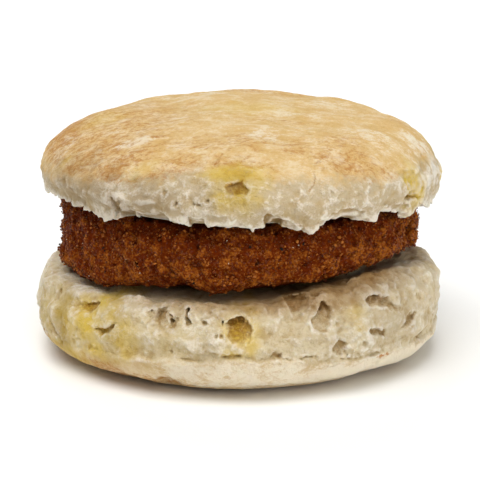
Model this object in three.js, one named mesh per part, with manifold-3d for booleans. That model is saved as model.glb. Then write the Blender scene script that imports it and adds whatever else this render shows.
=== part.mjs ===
// A breakfast sandwich: a round buttermilk biscuit split in two, with a thick breaded and fried
// chicken patty between the halves. Millimetres, +Z up, the front faces -Y.
import * as THREE from "three";
import { ImprovedNoise } from "three/addons/math/ImprovedNoise.js";
import { mergeVertices } from "three/addons/utils/BufferGeometryUtils.js";
import Module from "manifold-3d";

// Driving dimensions
const BOTTOM_RADIUS = 46.2;
const TOP_RADIUS = 44.8;
const BOTTOM_HEIGHT = 19.8;
const PATTY_RADIUS = 40.8;
const PATTY_THICKNESS = 16.2;
const TOP_HEIGHT = 18;
const RESTING_GAP = 0.4;

// Heights of the stack, from the plate up
const PATTY_BASE = BOTTOM_HEIGHT + RESTING_GAP;
const PATTY_TOP = PATTY_BASE + PATTY_THICKNESS;
const TOP_BASE = PATTY_TOP + RESTING_GAP;
const CROWN = TOP_BASE + TOP_HEIGHT;

// The baked foot, the heights of the widest circles, the rims of the two cut faces and the crown's shoulder
const FOOT_RADIUS = 35.8;
const BOTTOM_WIDEST = 8.5;
const CUT_RIM_RADIUS = 42.5;
const CUT_RIM_LIFT = 1.1;
const LIP_RADIUS = 42.4;
const LIP_LIFT = 1.3;
const TOP_WIDEST = CROWN - 12.4;
const SHOULDER_RADIUS = 32;
const SHOULDER_FALL = 2.3;

// Mesh density: steps round each piece
const BOTTOM_STEPS = 92;
const PATTY_STEPS = 100;
const TOP_STEPS = 100;

// Angles are degrees round from the front, towards the right.
// Pockets that baking gas and torn flakes left in the side of the lower half:
// angle, height of the middle, width, height and depth.
const BOTTOM_POCKETS = [
  { angle: -49, height: 16.6, width: 7.5, tall: 2.2, depth: 2 },
  { angle: -39, height: 13.6, width: 5, tall: 3, depth: 2.2 },
  { angle: -19, height: 17.2, width: 7.5, tall: 2.8, depth: 2 },
  { angle: 1, height: 15.6, width: 6.2, tall: 6.4, depth: 3 },
  { angle: 10.5, height: 10.4, width: 5.6, tall: 1.6, depth: 1.8 },
  { angle: 22.5, height: 17, width: 4.6, tall: 5.6, depth: 2.8 },
  { angle: 41, height: 18, width: 9.6, tall: 4.2, depth: 2.6 },
  { angle: 39.6, height: 12.5, width: 5.6, tall: 2, depth: 2 },
  { angle: 28, height: 11.3, width: 3.6, tall: 2.8, depth: 2.2 },
  { angle: 55, height: 13.4, width: 4, tall: 4.4, depth: 2.2 },
  { angle: 88, height: 14, width: 6, tall: 3, depth: 2.2 },
  { angle: 119, height: 16, width: 7.5, tall: 3.4, depth: 2.6 },
  { angle: 140, height: 12, width: 4.6, tall: 4.2, depth: 2.4 },
  { angle: 171, height: 15.2, width: 8.5, tall: 3.2, depth: 2.6 },
  { angle: -158, height: 12.5, width: 5, tall: 3.4, depth: 2.4 },
  { angle: -126, height: 15.6, width: 6.5, tall: 4.2, depth: 2.8 },
  { angle: -98, height: 12.6, width: 4.4, tall: 3, depth: 2.2 },
];

// Pits in the side of the upper half, where pieces of butter melted out
const TOP_POCKETS = [
  { angle: -1, height: 46.8, width: 6, tall: 2.6, depth: 1.8 },
  { angle: 55, height: 40.8, width: 4, tall: 2.8, depth: 1.8 },
  { angle: 128, height: 43, width: 5.4, tall: 3, depth: 1.9 },
  { angle: -146, height: 44, width: 5, tall: 2.6, depth: 1.8 },
  { angle: -96, height: 42, width: 4.2, tall: 2.4, depth: 1.6 },
];

// The torn lower edge of the upper half: flaps hang below its mean level, and notches rise above it.
// angle, half width in degrees, and drop below the mean.
const TORN_EDGE = [
  { angle: -75, half: 7, drop: 0.5 },
  { angle: -55, half: 6, drop: -0.2 },
  { angle: -43, half: 4.6, drop: 1.3 },
  { angle: -34.5, half: 4, drop: -2.1 },
  { angle: -27, half: 4, drop: -0.3 },
  { angle: -20, half: 3, drop: -1.3 },
  { angle: -11, half: 4, drop: 0.2 },
  { angle: 0, half: 6, drop: 1 },
  { angle: 10.5, half: 3, drop: -1.1 },
  { angle: 19, half: 4, drop: 1.5 },
  { angle: 29, half: 4.5, drop: -0.3 },
  { angle: 38.5, half: 3.5, drop: 1.1 },
  { angle: 45, half: 2, drop: -0.4 },
  { angle: 58, half: 9, drop: 3 },
  { angle: 88, half: 15, drop: 3.6 },
  { angle: 112, half: 5, drop: -0.8 },
  { angle: 126, half: 6, drop: 1.6 },
  { angle: 147, half: 5, drop: -0.9 },
  { angle: 166, half: 8, drop: 1.4 },
  { angle: -172, half: 4, drop: -1 },
  { angle: -153, half: 7, drop: 1.4 },
  { angle: -131, half: 4, drop: -1.1 },
  { angle: -112, half: 8, drop: 1.1 },
];

const { degToRad, lerp, smoothstep } = THREE.MathUtils;
const wasm = await Module();
wasm.setup();

const perlin = new ImprovedNoise();

// Smooth noise from about -1 to 1 with features of the given width and height, in layers of falling size.
function unevenness(p, width, height, layers, offset) {
  let sum = 0;
  let strength = 1;
  let fineness = 1;
  for (let layer = 0; layer < layers; layer++) {
    const across = fineness / width;
    const up = fineness / height;
    sum += strength * perlin.noise(p.x * across + offset, p.y * across - offset, p.z * up + 2 * offset);
    strength *= 0.5;
    fineness *= 2;
  }
  return sum;
}

// Degrees round from the front, towards the right, and back to a direction in plan
const angleOf = (p) => THREE.MathUtils.radToDeg(Math.atan2(p.x, -p.y));
const radiusOf = (p) => Math.hypot(p.x, p.y);
const outward = (angle) => new THREE.Vector3(Math.sin(degToRad(angle)), -Math.cos(degToRad(angle)), 0);

// 1 between two values and 0 outside them, with soft ends
const band = (value, low, high, soft) =>
  smoothstep(value, low - soft, low + soft) * (1 - smoothstep(value, high - soft, high + soft));

// A swell that is 1 at the middle angle and falls to 0 at the half width on either side
function swell(angle, middle, half) {
  const away = Math.abs(THREE.MathUtils.euclideanModulo(angle - middle + 180, 360) - 180);
  return 1 - smoothstep(away, half * 0.45, half * 1.25);
}

const line = (r0, z0, r1, z1) => new THREE.LineCurve(new THREE.Vector2(r0, z0), new THREE.Vector2(r1, z1));
const bend = (...corners) => new THREE.CubicBezierCurve(...corners.map(([r, z]) => new THREE.Vector2(r, z)));

// The half section of a round piece, from the axis underneath to the axis on top.
// Each stretch is a curve and the number of rows of vertices along it.
function section(stretches) {
  const points = [stretches[0][0].getPoint(0)];
  for (const [curve, rows] of stretches) {
    for (let row = 1; row <= rows; row++) points.push(curve.getPoint(row / rows));
  }
  points[0].x = 0;
  points.at(-1).x = 0;
  return points;
}

// A closed mesh as a solid that can be cut
function solidFrom(geometry) {
  geometry.deleteAttribute("normal");
  geometry.deleteAttribute("uv");
  const merged = mergeVertices(geometry, 1e-4);
  const mesh = new wasm.Mesh({
    numProp: 3,
    vertProperties: merged.attributes.position.array,
    triVerts: new Uint32Array(merged.index.array),
  });
  return new wasm.Manifold(mesh);
}

// A cut solid back as a geometry
function geometryFrom(solid) {
  const mesh = solid.getMesh();
  const geometry = new THREE.BufferGeometry();
  geometry.setAttribute("position", new THREE.BufferAttribute(new Float32Array(mesh.vertProperties), 3));
  geometry.setIndex(new THREE.BufferAttribute(new Uint32Array(mesh.triVerts), 1));
  geometry.computeVertexNormals();
  return geometry;
}

// Moves every vertex of a geometry by a rule
function reshape(geometry, rule) {
  const position = geometry.attributes.position;
  const p = new THREE.Vector3();
  for (let i = 0; i < position.count; i++) {
    p.fromBufferAttribute(position, i);
    rule(p);
    position.setXYZ(i, p.x, p.y, p.z);
  }
  return geometry;
}

// A turned piece with its axis upright, then made uneven by a rule
function turned(stretches, steps, rule) {
  const lathe = new THREE.LatheGeometry(section(stretches), steps);
  lathe.rotateX(Math.PI / 2);
  return reshape(lathe, rule);
}

// A lumpy hollow cut into a side: a stretched ball with its middle on the surface
function pocketSolid({ angle, height, width, tall, depth }, radius, index) {
  const ball = new THREE.IcosahedronGeometry(1, 1);
  reshape(ball, (p) => p.multiplyScalar(1 + 0.42 * unevenness(p, 1.1, 1.1, 1, 3.3 * index + 0.4)));
  ball.scale(width / 2, depth, tall / 2);
  ball.rotateZ(degToRad(angle));
  const middle = outward(angle).multiplyScalar(radius);
  ball.translate(middle.x, middle.y, height);
  return solidFrom(ball);
}

function withPockets(geometry, pockets, radiusAt) {
  let solid = solidFrom(geometry);
  pockets.forEach((pocket, index) => {
    solid = solid.subtract(pocketSolid(pocket, radiusAt(pocket), index));
  });
  return geometryFrom(solid);
}

// Moves a point out from, or in towards, the axis
function push(p, amount) {
  const r = radiusOf(p);
  if (r < 1e-6) return;
  p.x *= 1 + amount / r;
  p.y *= 1 + amount / r;
}

// The outline in plan is round only roughly, as hand-patted dough is
function roughlyRound(p, share, offset) {
  const direction = outward(angleOf(p));
  direction.z = 0;
  push(p, radiusOf(p) * share * unevenness(direction, 0.8, 1, 2, offset));
}

// The lower half: a baked foot that curves up to a smooth band of crust, then torn open crumb
function bottomHalf() {
  const widest = [BOTTOM_RADIUS, BOTTOM_WIDEST];
  const rim = [CUT_RIM_RADIUS, BOTTOM_HEIGHT + 0.2];
  const crest = BOTTOM_HEIGHT + CUT_RIM_LIFT;
  const stretches = [
    [line(0, 0, FOOT_RADIUS, 0), 4],
    [bend([FOOT_RADIUS, 0], [FOOT_RADIUS + 6, 0.1], [BOTTOM_RADIUS - 0.5, 3.6], widest), 4],
    [bend(widest, [BOTTOM_RADIUS + 0.2, 13], [CUT_RIM_RADIUS + 1.8, BOTTOM_HEIGHT - 2.4], rim), 7],
    [bend(rim, [CUT_RIM_RADIUS - 0.6, crest], [CUT_RIM_RADIUS - 2, crest], [38.6, BOTTOM_HEIGHT]), 2],
    [line(38.6, BOTTOM_HEIGHT, 0, BOTTOM_HEIGHT), 5],
  ];
  const body = turned(stretches, BOTTOM_STEPS, (p) => {
    const angle = angleOf(p);
    const onSide = smoothstep(radiusOf(p), 37, 42);
    const height = p.z;
    const crustLine = 8.6 + 1.6 * unevenness(outward(angle), 0.5, 1, 2, 4.2) + 1.4 * swell(angle, 0, 28);
    const crumb = onSide * band(height, crustLine + 0.6, BOTTOM_HEIGHT, 1.2);
    const crease = onSide * band(height, crustLine - 0.5, crustLine + 1.1, 0.6);
    const groove = 0.5 + 0.5 * unevenness(p, 12, 12, 1, 7.7);
    const leftFold = onSide * swell(angle, -59, 3.4) * band(height, 5, 19, 2);
    roughlyRound(p, 0.022, 1.5);
    push(p, crumb * 1.5 * unevenness(p, 7, 4, 2, 9.1));
    push(p, onSide * (1 - crumb) * 0.6 * unevenness(p, 9, 7, 2, 5.3));
    push(p, -crease * 1.5 * groove);
    push(p, -leftFold * 1.7);
    push(p, onSide * 1.3 * swell(angle, 78, 34) * smoothstep(height, 10, 17));
    push(p, onSide * 0.6 * swell(angle, -80, 30));
    const onCut = smoothstep(height, BOTTOM_HEIGHT - 3, BOTTOM_HEIGHT);
    const underPatty = 1 - smoothstep(radiusOf(p), 36, 41);
    const tearing = unevenness(p, 8, 8, 2, 2.9);
    p.z += onCut * lerp(0.9 * tearing, -0.25 * Math.abs(tearing), underPatty);
    p.z += onCut * 1.6 * swell(angle, 50, 20) * smoothstep(radiusOf(p), 39, 42);
    const lift = smoothstep(radiusOf(p), FOOT_RADIUS - 8, FOOT_RADIUS + 4) * (1 - smoothstep(height, 0, 6));
    p.z += lift * 0.5 * (1 + unevenness(p, 10, 10, 2, 6.1));
  });
  return withPockets(body, BOTTOM_POCKETS, ({ height }) =>
    lerp(BOTTOM_RADIUS, CUT_RIM_RADIUS + 1, smoothstep(height, BOTTOM_WIDEST, BOTTOM_HEIGHT)),
  );
}

// The chicken patty: a thick disc with round corners, craggy with its fried coating
function patty() {
  const side = PATTY_RADIUS;
  const lower = PATTY_BASE + 5.2;
  const upper = PATTY_TOP - 4.4;
  const stretches = [
    [line(0, PATTY_BASE, 32, PATTY_BASE), 4],
    [bend([32, PATTY_BASE], [36.8, PATTY_BASE + 0.2], [side - 0.4, lower - 3], [side, lower]), 4],
    [line(side, lower, side, upper), 4],
    [bend([side, upper], [side - 0.1, upper + 2.8], [side - 2.5, PATTY_TOP], [35, PATTY_TOP]), 3],
    [line(35, PATTY_TOP, 0, PATTY_TOP), 4],
  ];
  return turned(stretches, PATTY_STEPS, (p) => {
    const height = p.z;
    const onSide = smoothstep(radiusOf(p), 30, 39);
    const lumps = unevenness(p, 11, 8, 1, 12.2);
    const crags = unevenness(p, 4.6, 4.2, 2, 8.4);
    const curl = smoothstep(p.x, 8, PATTY_RADIUS) * (1 - smoothstep(height, PATTY_BASE, PATTY_TOP - 3));
    roughlyRound(p, 0.014, 6.7);
    push(p, onSide * Math.min(0.8, 0.9 * lumps + 1.7 * crags));
    p.z += 2.6 * curl;
    const mound = Math.abs(crags) + Math.max(0, lumps);
    if (height < PATTY_BASE + 0.5) p.z += 0.35 * mound;
    if (height > PATTY_TOP - 0.5) p.z -= 0.5 * mound;
  });
}

// Drop of the torn edge below its mean level
function edgeDrop(angle) {
  let drop = 0;
  for (const tear of TORN_EDGE) drop += tear.drop * swell(angle, tear.angle, tear.half);
  return drop + 0.5 * unevenness(outward(angle), 0.07, 1, 2, 3.1);
}

// The upper half: torn crumb below, curving over a thick shoulder to a low, pillowy crown of crust
function topHalf() {
  const lip = [LIP_RADIUS, TOP_BASE + LIP_LIFT];
  const widest = [TOP_RADIUS, TOP_WIDEST];
  const shoulder = [SHOULDER_RADIUS, CROWN - SHOULDER_FALL];
  const stretches = [
    [line(0, TOP_BASE, 37, TOP_BASE), 4],
    [bend([37, TOP_BASE], [39, TOP_BASE], [LIP_RADIUS - 0.8, TOP_BASE + LIP_LIFT - 0.6], lip), 2],
    [bend(lip, [LIP_RADIUS + 1, lip[1] + 0.4], [TOP_RADIUS - 0.4, TOP_WIDEST - 2.4], widest), 5],
    [bend(widest, [TOP_RADIUS + 0.2, TOP_WIDEST + 4], [SHOULDER_RADIUS + 6, shoulder[1] - 1.9], shoulder), 5],
    [bend(shoulder, [21, CROWN - 0.6], [10, CROWN], [0, CROWN]), 5],
  ];
  const body = turned(stretches, TOP_STEPS, (p) => {
    const angle = angleOf(p);
    const height = p.z;
    const onRim = smoothstep(radiusOf(p), 39.5, 42);
    const towardsEdge = onRim * (1 - smoothstep(height, lip[1], lip[1] + 5.5));
    const crumb = onRim * (1 - smoothstep(height, TOP_WIDEST - 1, TOP_WIDEST + 4));
    const crust = 1 - crumb;
    const ripples = unevenness(p, 15, 15, 2, 10.6);
    const squareEnd = swell(angle, 84, 34) * towardsEdge;
    roughlyRound(p, 0.02, 8.8);
    push(p, crumb * (0.9 * unevenness(p, 6, 4.5, 2, 11.3) + 0.2));
    push(p, onRim * crust * 0.7 * ripples);
    push(p, 0.3 * squareEnd);
    if (height > TOP_WIDEST) p.z += crust * 0.8 * ripples * smoothstep(height, TOP_WIDEST, CROWN - 4);
    p.z -= towardsEdge * edgeDrop(angle);
    if (height < TOP_BASE + 0.5) p.z += (1 - onRim) * 0.25 * Math.abs(unevenness(p, 7, 7, 2, 14.2));
  });
  return withPockets(body, TOP_POCKETS, () => TOP_RADIUS);
}

const crumbMaterial = (name, colour) =>
  new THREE.MeshStandardMaterial({ name, color: colour, roughness: 0.85, metalness: 0 });

const PIECES = [
  { name: "biscuit_bottom", geometry: bottomHalf(), material: crumbMaterial("pale_biscuit", 0xcfb98f) },
  { name: "chicken_patty", geometry: patty(), material: crumbMaterial("fried_breading", 0x7a3c14) },
  { name: "biscuit_top", geometry: topHalf(), material: crumbMaterial("golden_biscuit", 0xdfbe8a) },
];

const sandwich = new THREE.Group();
sandwich.name = "breakfast_sandwich";
for (const { name, geometry, material } of PIECES) {
  geometry.computeVertexNormals();
  const mesh = new THREE.Mesh(geometry, material);
  mesh.name = name;
  sandwich.add(mesh);
}

// The origin is under the middle of the whole, on the surface it stands on
const box = new THREE.Box3().setFromObject(sandwich, true);
sandwich.position.set(-(box.min.x + box.max.x) / 2, -(box.min.y + box.max.y) / 2, -box.min.z);

export default sandwich;
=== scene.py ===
"""The looks of a breakfast sandwich: a torn buttermilk biscuit round a thick breaded chicken patty.

Each of the three pieces is shaped again on a fine grid of distances from its solid's surface, where
pockets, flakes, pores and crags are joined to it or taken away. Lengths inside the shaping code are
in millimetres. Angles are degrees round from the front, towards the right.
"""
import math
from typing import NamedTuple

import bpy
import numpy as np
import openvdb as vdb
from bpy.props import FloatProperty, FloatVectorProperty, IntProperty, PointerProperty
from bpy.types import Operator, Panel, PropertyGroup
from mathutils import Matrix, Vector


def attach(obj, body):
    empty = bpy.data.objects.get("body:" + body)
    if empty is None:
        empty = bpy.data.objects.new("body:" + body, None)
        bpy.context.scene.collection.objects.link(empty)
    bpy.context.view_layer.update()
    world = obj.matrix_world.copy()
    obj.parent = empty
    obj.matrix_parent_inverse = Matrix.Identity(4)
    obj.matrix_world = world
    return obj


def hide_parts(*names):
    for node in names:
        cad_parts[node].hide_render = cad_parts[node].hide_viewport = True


bl_info = {
    "name": "Breakfast Sandwich",
    "version": (1, 0, 0),
    "blender": (4, 5, 0),
    "location": "View3D > Sidebar > Sandwich",
    "description": "Shapes and finishes a chicken biscuit around its packed solids",
    "category": "Object",
}

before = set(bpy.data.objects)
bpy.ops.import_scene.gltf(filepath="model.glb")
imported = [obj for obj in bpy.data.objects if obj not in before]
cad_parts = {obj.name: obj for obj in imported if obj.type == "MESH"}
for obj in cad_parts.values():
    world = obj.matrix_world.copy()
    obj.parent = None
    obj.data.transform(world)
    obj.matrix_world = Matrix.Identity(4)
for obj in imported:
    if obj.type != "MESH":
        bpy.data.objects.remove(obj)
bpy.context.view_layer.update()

MM = 0.001

# How far the sides are from the axis where marks are measured along them, in millimetres
SIDE_RADIUS = 45.5

# How long a degree is there
DEGREE = math.radians(1) * SIDE_RADIUS

# Beyond this radius the points of a half belong to its side
SIDE_FROM = 36

# Every whole degree, all the way round
ALL_ANGLES = np.arange(-180, 180)

# Seeds: the unevenness of each shape, what is drawn at random for it, and the unevenness of its marks
LOWER_WAVES, LOWER_DRAWS, LOWER_MARKS = 21, 31, 41
UPPER_WAVES, UPPER_DRAWS, UPPER_MARKS = 22, 32, 42
PATTY_WAVES, PATTY_DRAWS = 23, 33

# How uneven the outlines of the marks on a biscuit are
MARK_EDGE = 0.24

# Pepper and salt: how many flecks and grains
PEPPER_COUNT = 90
SALT_COUNT = 110

# How high a small grain is for its width, and how much of that is pressed in
GRAIN_HEIGHT = 0.7
GRAIN_SINK = 0.25

# The torn rim: how far above its solid's lip it begins, and how much it leans in per millimetre
FLAP_RISE = 2.2
FLAP_LEAN = 0.18

# How far up the side the rim still fills what is behind it
FLAP_OVERLAP = 2

# How thick the rim is, how far in its underside is cut, and how much lower that gets per millimetre
FLAP_THICKNESS = 2.6
FLAP_CUT = 4.2
FLAP_SLANT = 0.6

# The camera's sensor, and how far the floor reaches and how low it is, in millimetres
SENSOR_WIDTH = 36
FLOOR_REACH = 3000
FLOOR_HEIGHT = -0.15

# Where the soft lamps are and how wide they are, in metres, and the way that the key light shines
FRONT_LAMP = (0.1, -1.15, 1.0)
FILL_LAMP = (1.3, -0.8, 0.35)
BACK_LAMP = (-0.3, 1.2, 1.2)
LAMP_WIDTH = 1.0
KEY_WAY = (0.25, 0.42, -1.3)


class Pocket(NamedTuple):
    """A hollow in a side, drawn by its outline of angles and heights.

    It is deepest at its top. Its floor is the part of that depth left at its bottom. Strands is how
    much of the depth is still filled by upright strands of dough, and toasted is how brown its upper
    edge is.
    """

    outline: tuple
    depth: float
    floor: float = 0.5
    strands: float = 0
    toasted: float = 0


class Patch(NamedTuple):
    """A mark on a side, by angle and height."""

    angle: float
    height: float
    width: float
    tall: float
    strength: float


class Spot(NamedTuple):
    """A mark on the crown, in plan."""

    x: float
    y: float
    width: float
    depth: float
    strength: float


class Repeat(NamedTuple):
    """Marks from the front, turned round to the back and kept between two angles from 0 to 360."""

    turn: float
    way: int
    start: float
    end: float


class Ledge(NamedTuple):
    """Where the outermost layer of dough ended higher than what is behind it.

    The edge runs through points of angle and height. Below it the side steps in, and then slopes in.
    """

    edge: tuple
    step: float
    slope: float


# The hollows in the lower half's side
POCKETS = [
    Pocket(
        ((-57.5, 15.7), (-52, 16.8), (-46, 17.7), (-46.2, 16.8), (-47.6, 15.1), (-52.5, 15.3)),
        2.8, 0.4,
    ),
    Pocket(
        ((-44.4, 12.9), (-39, 14), (-37, 15.3), (-36.6, 14.2), (-38.4, 12.4), (-41.4, 11.5),
         (-43.8, 12)),
        2.2, 0.4,
    ),
    Pocket(((-52.2, 9.3), (-48.2, 10.1), (-48.6, 9.1), (-51.8, 8.7)), 0.6),
    Pocket(((-46.4, 8.8), (-42, 8.8), (-43, 8.1), (-46.1, 7.9)), 0.6),
    Pocket(((-57, 17.5), (-54.7, 17.4), (-52.3, 14.8), (-53.6, 14), (-55.7, 15.6)), 0.7),
    Pocket(
        ((-67.6, 17.1), (-66.4, 17), (-65.6, 10.6), (-58.8, 7.2), (-59.6, 6), (-66.9, 10)),
        0.7, 0.8,
    ),
    Pocket(((-80, 16), (-78, 16.4), (-76, 9), (-71, 6), (-72, 5), (-78, 8.6)), 0.6, 0.8),
    Pocket(
        ((-28, 18.4), (-22.6, 19.2), (-17.2, 17.6), (-16.6, 15), (-20.5, 14.4), (-26, 15.8)),
        0.9, 0.2, 0.6,
    ),
    Pocket(
        ((-25, 18.1), (-22.6, 18.4), (-20.7, 17.3), (-20.7, 16.2), (-22.7, 15.6), (-24.6, 16.3)),
        1.5, 0.4, 0.6,
    ),
    Pocket(
        ((-20.4, 17.3), (-18.9, 17.1), (-17.6, 16.9), (-17.8, 15.4), (-19, 15.1), (-20.1, 15.4)),
        2.4, 0.7, 0.6,
    ),
    Pocket(
        ((-15.8, 20), (-14.5, 19.8), (-14.6, 18.2), (-13.2, 16.9), (-13.8, 16), (-15.6, 16.3)),
        2.3, 0.7, 0.2,
    ),
    Pocket(((-10.8, 17.8), (-8.9, 17.7), (-9, 16.8), (-10.4, 16.7)), 0.9),
    Pocket(((-5.1, 17.9), (-4.3, 17.8), (-4.3, 16.5), (-5, 16.5)), 1.4, 0.8),
    Pocket(((-6.7, 15.6), (-5.8, 15.5), (-6.1, 14.5), (-6.6, 14.6)), 1.4, 0.8),
    Pocket(((-5.5, 15.6), (-4.5, 15.6), (-4.4, 14.6), (-5.3, 14.6)), 1.6, 0.8),
    Pocket(
        ((-4.1, 17.3), (-2.5, 18.5), (0.1, 18.6), (1.6, 18.3), (3.7, 16.3), (3, 15), (2.4, 12.8),
         (1.6, 13.8), (0.1, 13.4), (-2.3, 13.6), (-3.6, 15.3)),
        2.1, 0.35, 0.3,
    ),
    Pocket(((3.7, 21.6), (5, 21.9), (5.3, 20.5), (4.8, 20.5), (3.8, 21.2)), 1.2),
    Pocket(
        ((-5.7, 10.8), (-3.2, 11.4), (0.1, 11.6), (0.9, 11.1), (0.1, 10.2), (-5.2, 10.2)),
        1.1, 0.5, 0.3,
    ),
    Pocket(
        ((7.8, 10.8), (9, 11.4), (11, 11.3), (11.5, 10.4), (14, 9.9), (13.6, 9.4), (9, 9.9)),
        1.4, 0.6, 0.3,
    ),
    Pocket(((14.7, 10.1), (20.6, 10.2), (20.7, 9.6), (15, 9.5)), 0.8, 0.8, 0.5),
    Pocket(((13.9, 21.2), (21.3, 21.5), (20, 19.7), (15.5, 17.6), (14.5, 19)), 0.9, 0.6),
    Pocket(
        ((23.7, 20.8), (25.3, 20.7), (26.8, 19.2), (26.5, 17.2), (25, 15.9), (23.9, 14.8),
         (22, 14.2), (20.3, 15.3), (19.6, 17), (21.6, 18.9)),
        1.1, 0.6,
    ),
    Pocket(((25, 20), (26.2, 18.9), (26.1, 17.5), (25.4, 17.1), (25.2, 18.7)), 0.5),
    Pocket(
        ((24.7, 11.7), (27.7, 13.2), (30.3, 12), (30, 9.5), (27.8, 8.9), (25.3, 10.2)),
        1.5, 0.55,
    ),
    Pocket(
        ((36.9, 19.7), (38.6, 20.9), (40.9, 21), (45.3, 19.9), (46.7, 18.2), (50.3, 16.5),
         (49.6, 15.7), (45.4, 16.6), (42.8, 17.7), (38.1, 18.5)),
        1.3, 0.3,
    ),
    Pocket(
        ((40.5, 20.1), (44.9, 19.3), (46.1, 17.9), (48.9, 16.5), (45.1, 17.3), (42.5, 18.5)),
        0.5,
    ),
    Pocket(
        ((36, 13.7), (37.5, 14), (42.8, 13), (43.4, 12.1), (42.5, 11.3), (39.6, 12), (36.9, 12.6)),
        1.5, 0.4,
    ),
    Pocket(
        ((48.4, 12), (51.4, 13.5), (53, 14.9), (56.1, 14.4), (55.8, 12.8), (52.7, 12), (50.3, 11.6)),
        1.5, 0.5,
    ),
    Pocket(((57.5, 8.6), (59.5, 9), (61.7, 9.6), (63.7, 8.4), (61.9, 7.4), (58.5, 7.6)), 1.2),
    Pocket(
        ((38, 5.9), (40.7, 7.1), (44, 7.4), (43.6, 6.3), (40.8, 5.3), (38.9, 5.3)),
        1.1, 0.8, 0.4, 0.9,
    ),
    Pocket(((57.3, 18.9), (59.4, 18.3), (60.1, 16.3), (57.9, 17.1)), 0.8),
    Pocket(((67.3, 12), (71.8, 11), (72, 9.2), (68.5, 9.8)), 0.7),
    Pocket(((-19.4, 11.4), (-18.2, 11.3), (-18.3, 10.4), (-19.2, 10.5)), 0.8),
    Pocket(((7.3, 15.5), (8.6, 15.6), (8.4, 14.6), (7.4, 14.7)), 0.6),
]

# The hollows in the upper half's side
TOP_POCKETS = [
    Pocket(
        ((-4.4, 46.6), (-2.6, 47.2), (-0.8, 47.5), (0.7, 47.3), (1.4, 46.7), (2.9, 46.3), (2, 44.4),
         (0.7, 44.6), (-1, 44.2), (-3.4, 44.6)),
        1.5, 0.4, 0, 0.9,
    ),
    Pocket(((-18.3, 43.4), (-17, 43.8), (-16.9, 42.6), (-17.8, 42.1), (-18.4, 42.8)), 1.3, 0.7),
    Pocket(((-21.8, 45.3), (-20.6, 45.2), (-20.7, 43.9), (-21.5, 44.2)), 1.2, 0.6),
    Pocket(((-9.7, 43.8), (-8.7, 43.8), (-8.4, 43), (-9.3, 43)), 1.4, 0.8),
    Pocket(((-11.7, 43), (-10.6, 42.9), (-10.7, 42.3), (-11.6, 42.2)), 1.2, 0.8),
    Pocket(((-12.9, 43.1), (-12.1, 42.9), (-12.1, 42.1), (-12.7, 42.3)), 1.0, 0.8),
    Pocket(((11.2, 47.6), (11.9, 47.5), (11.9, 46.1), (11.4, 46.1)), 0.5, 0.8),
    Pocket(((24.8, 45.2), (25.7, 45.1), (25.6, 44.3), (24.9, 44.5)), 0.7),
    Pocket(
        ((50.1, 46), (53.8, 46.4), (62.5, 44.6), (64.1, 40.9), (63, 38.2), (59, 36), (56.6, 37.6),
         (55, 40.9), (52.8, 42.3), (51.8, 44.1)),
        0.5, 1,
    ),
    Pocket(
        ((54.8, 40.9), (57.4, 40.4), (63.7, 39), (60.6, 38.6), (57.5, 39.1), (54.9, 39.7)),
        1.2, 0.5, 0, 0.5,
    ),
    Pocket(((71, 46.6), (73.6, 46.4), (73.4, 41), (72, 40.6)), 0.7, 0.8),
    Pocket(((-33.9, 49.2), (-33, 48.8), (-32.2, 47.8), (-32.9, 47.7)), 0.5, 0.8, 0, 1),
    Pocket(((-62, 42.6), (-59, 43.4), (-57, 42.2), (-60, 41.4)), 0.5),
]

# What doesn't show behind repeats what shows in front, mirrored where way is -1
BEHIND = [Repeat(150, -1, 80, 200), Repeat(200, 1, 200, 280)]

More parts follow.
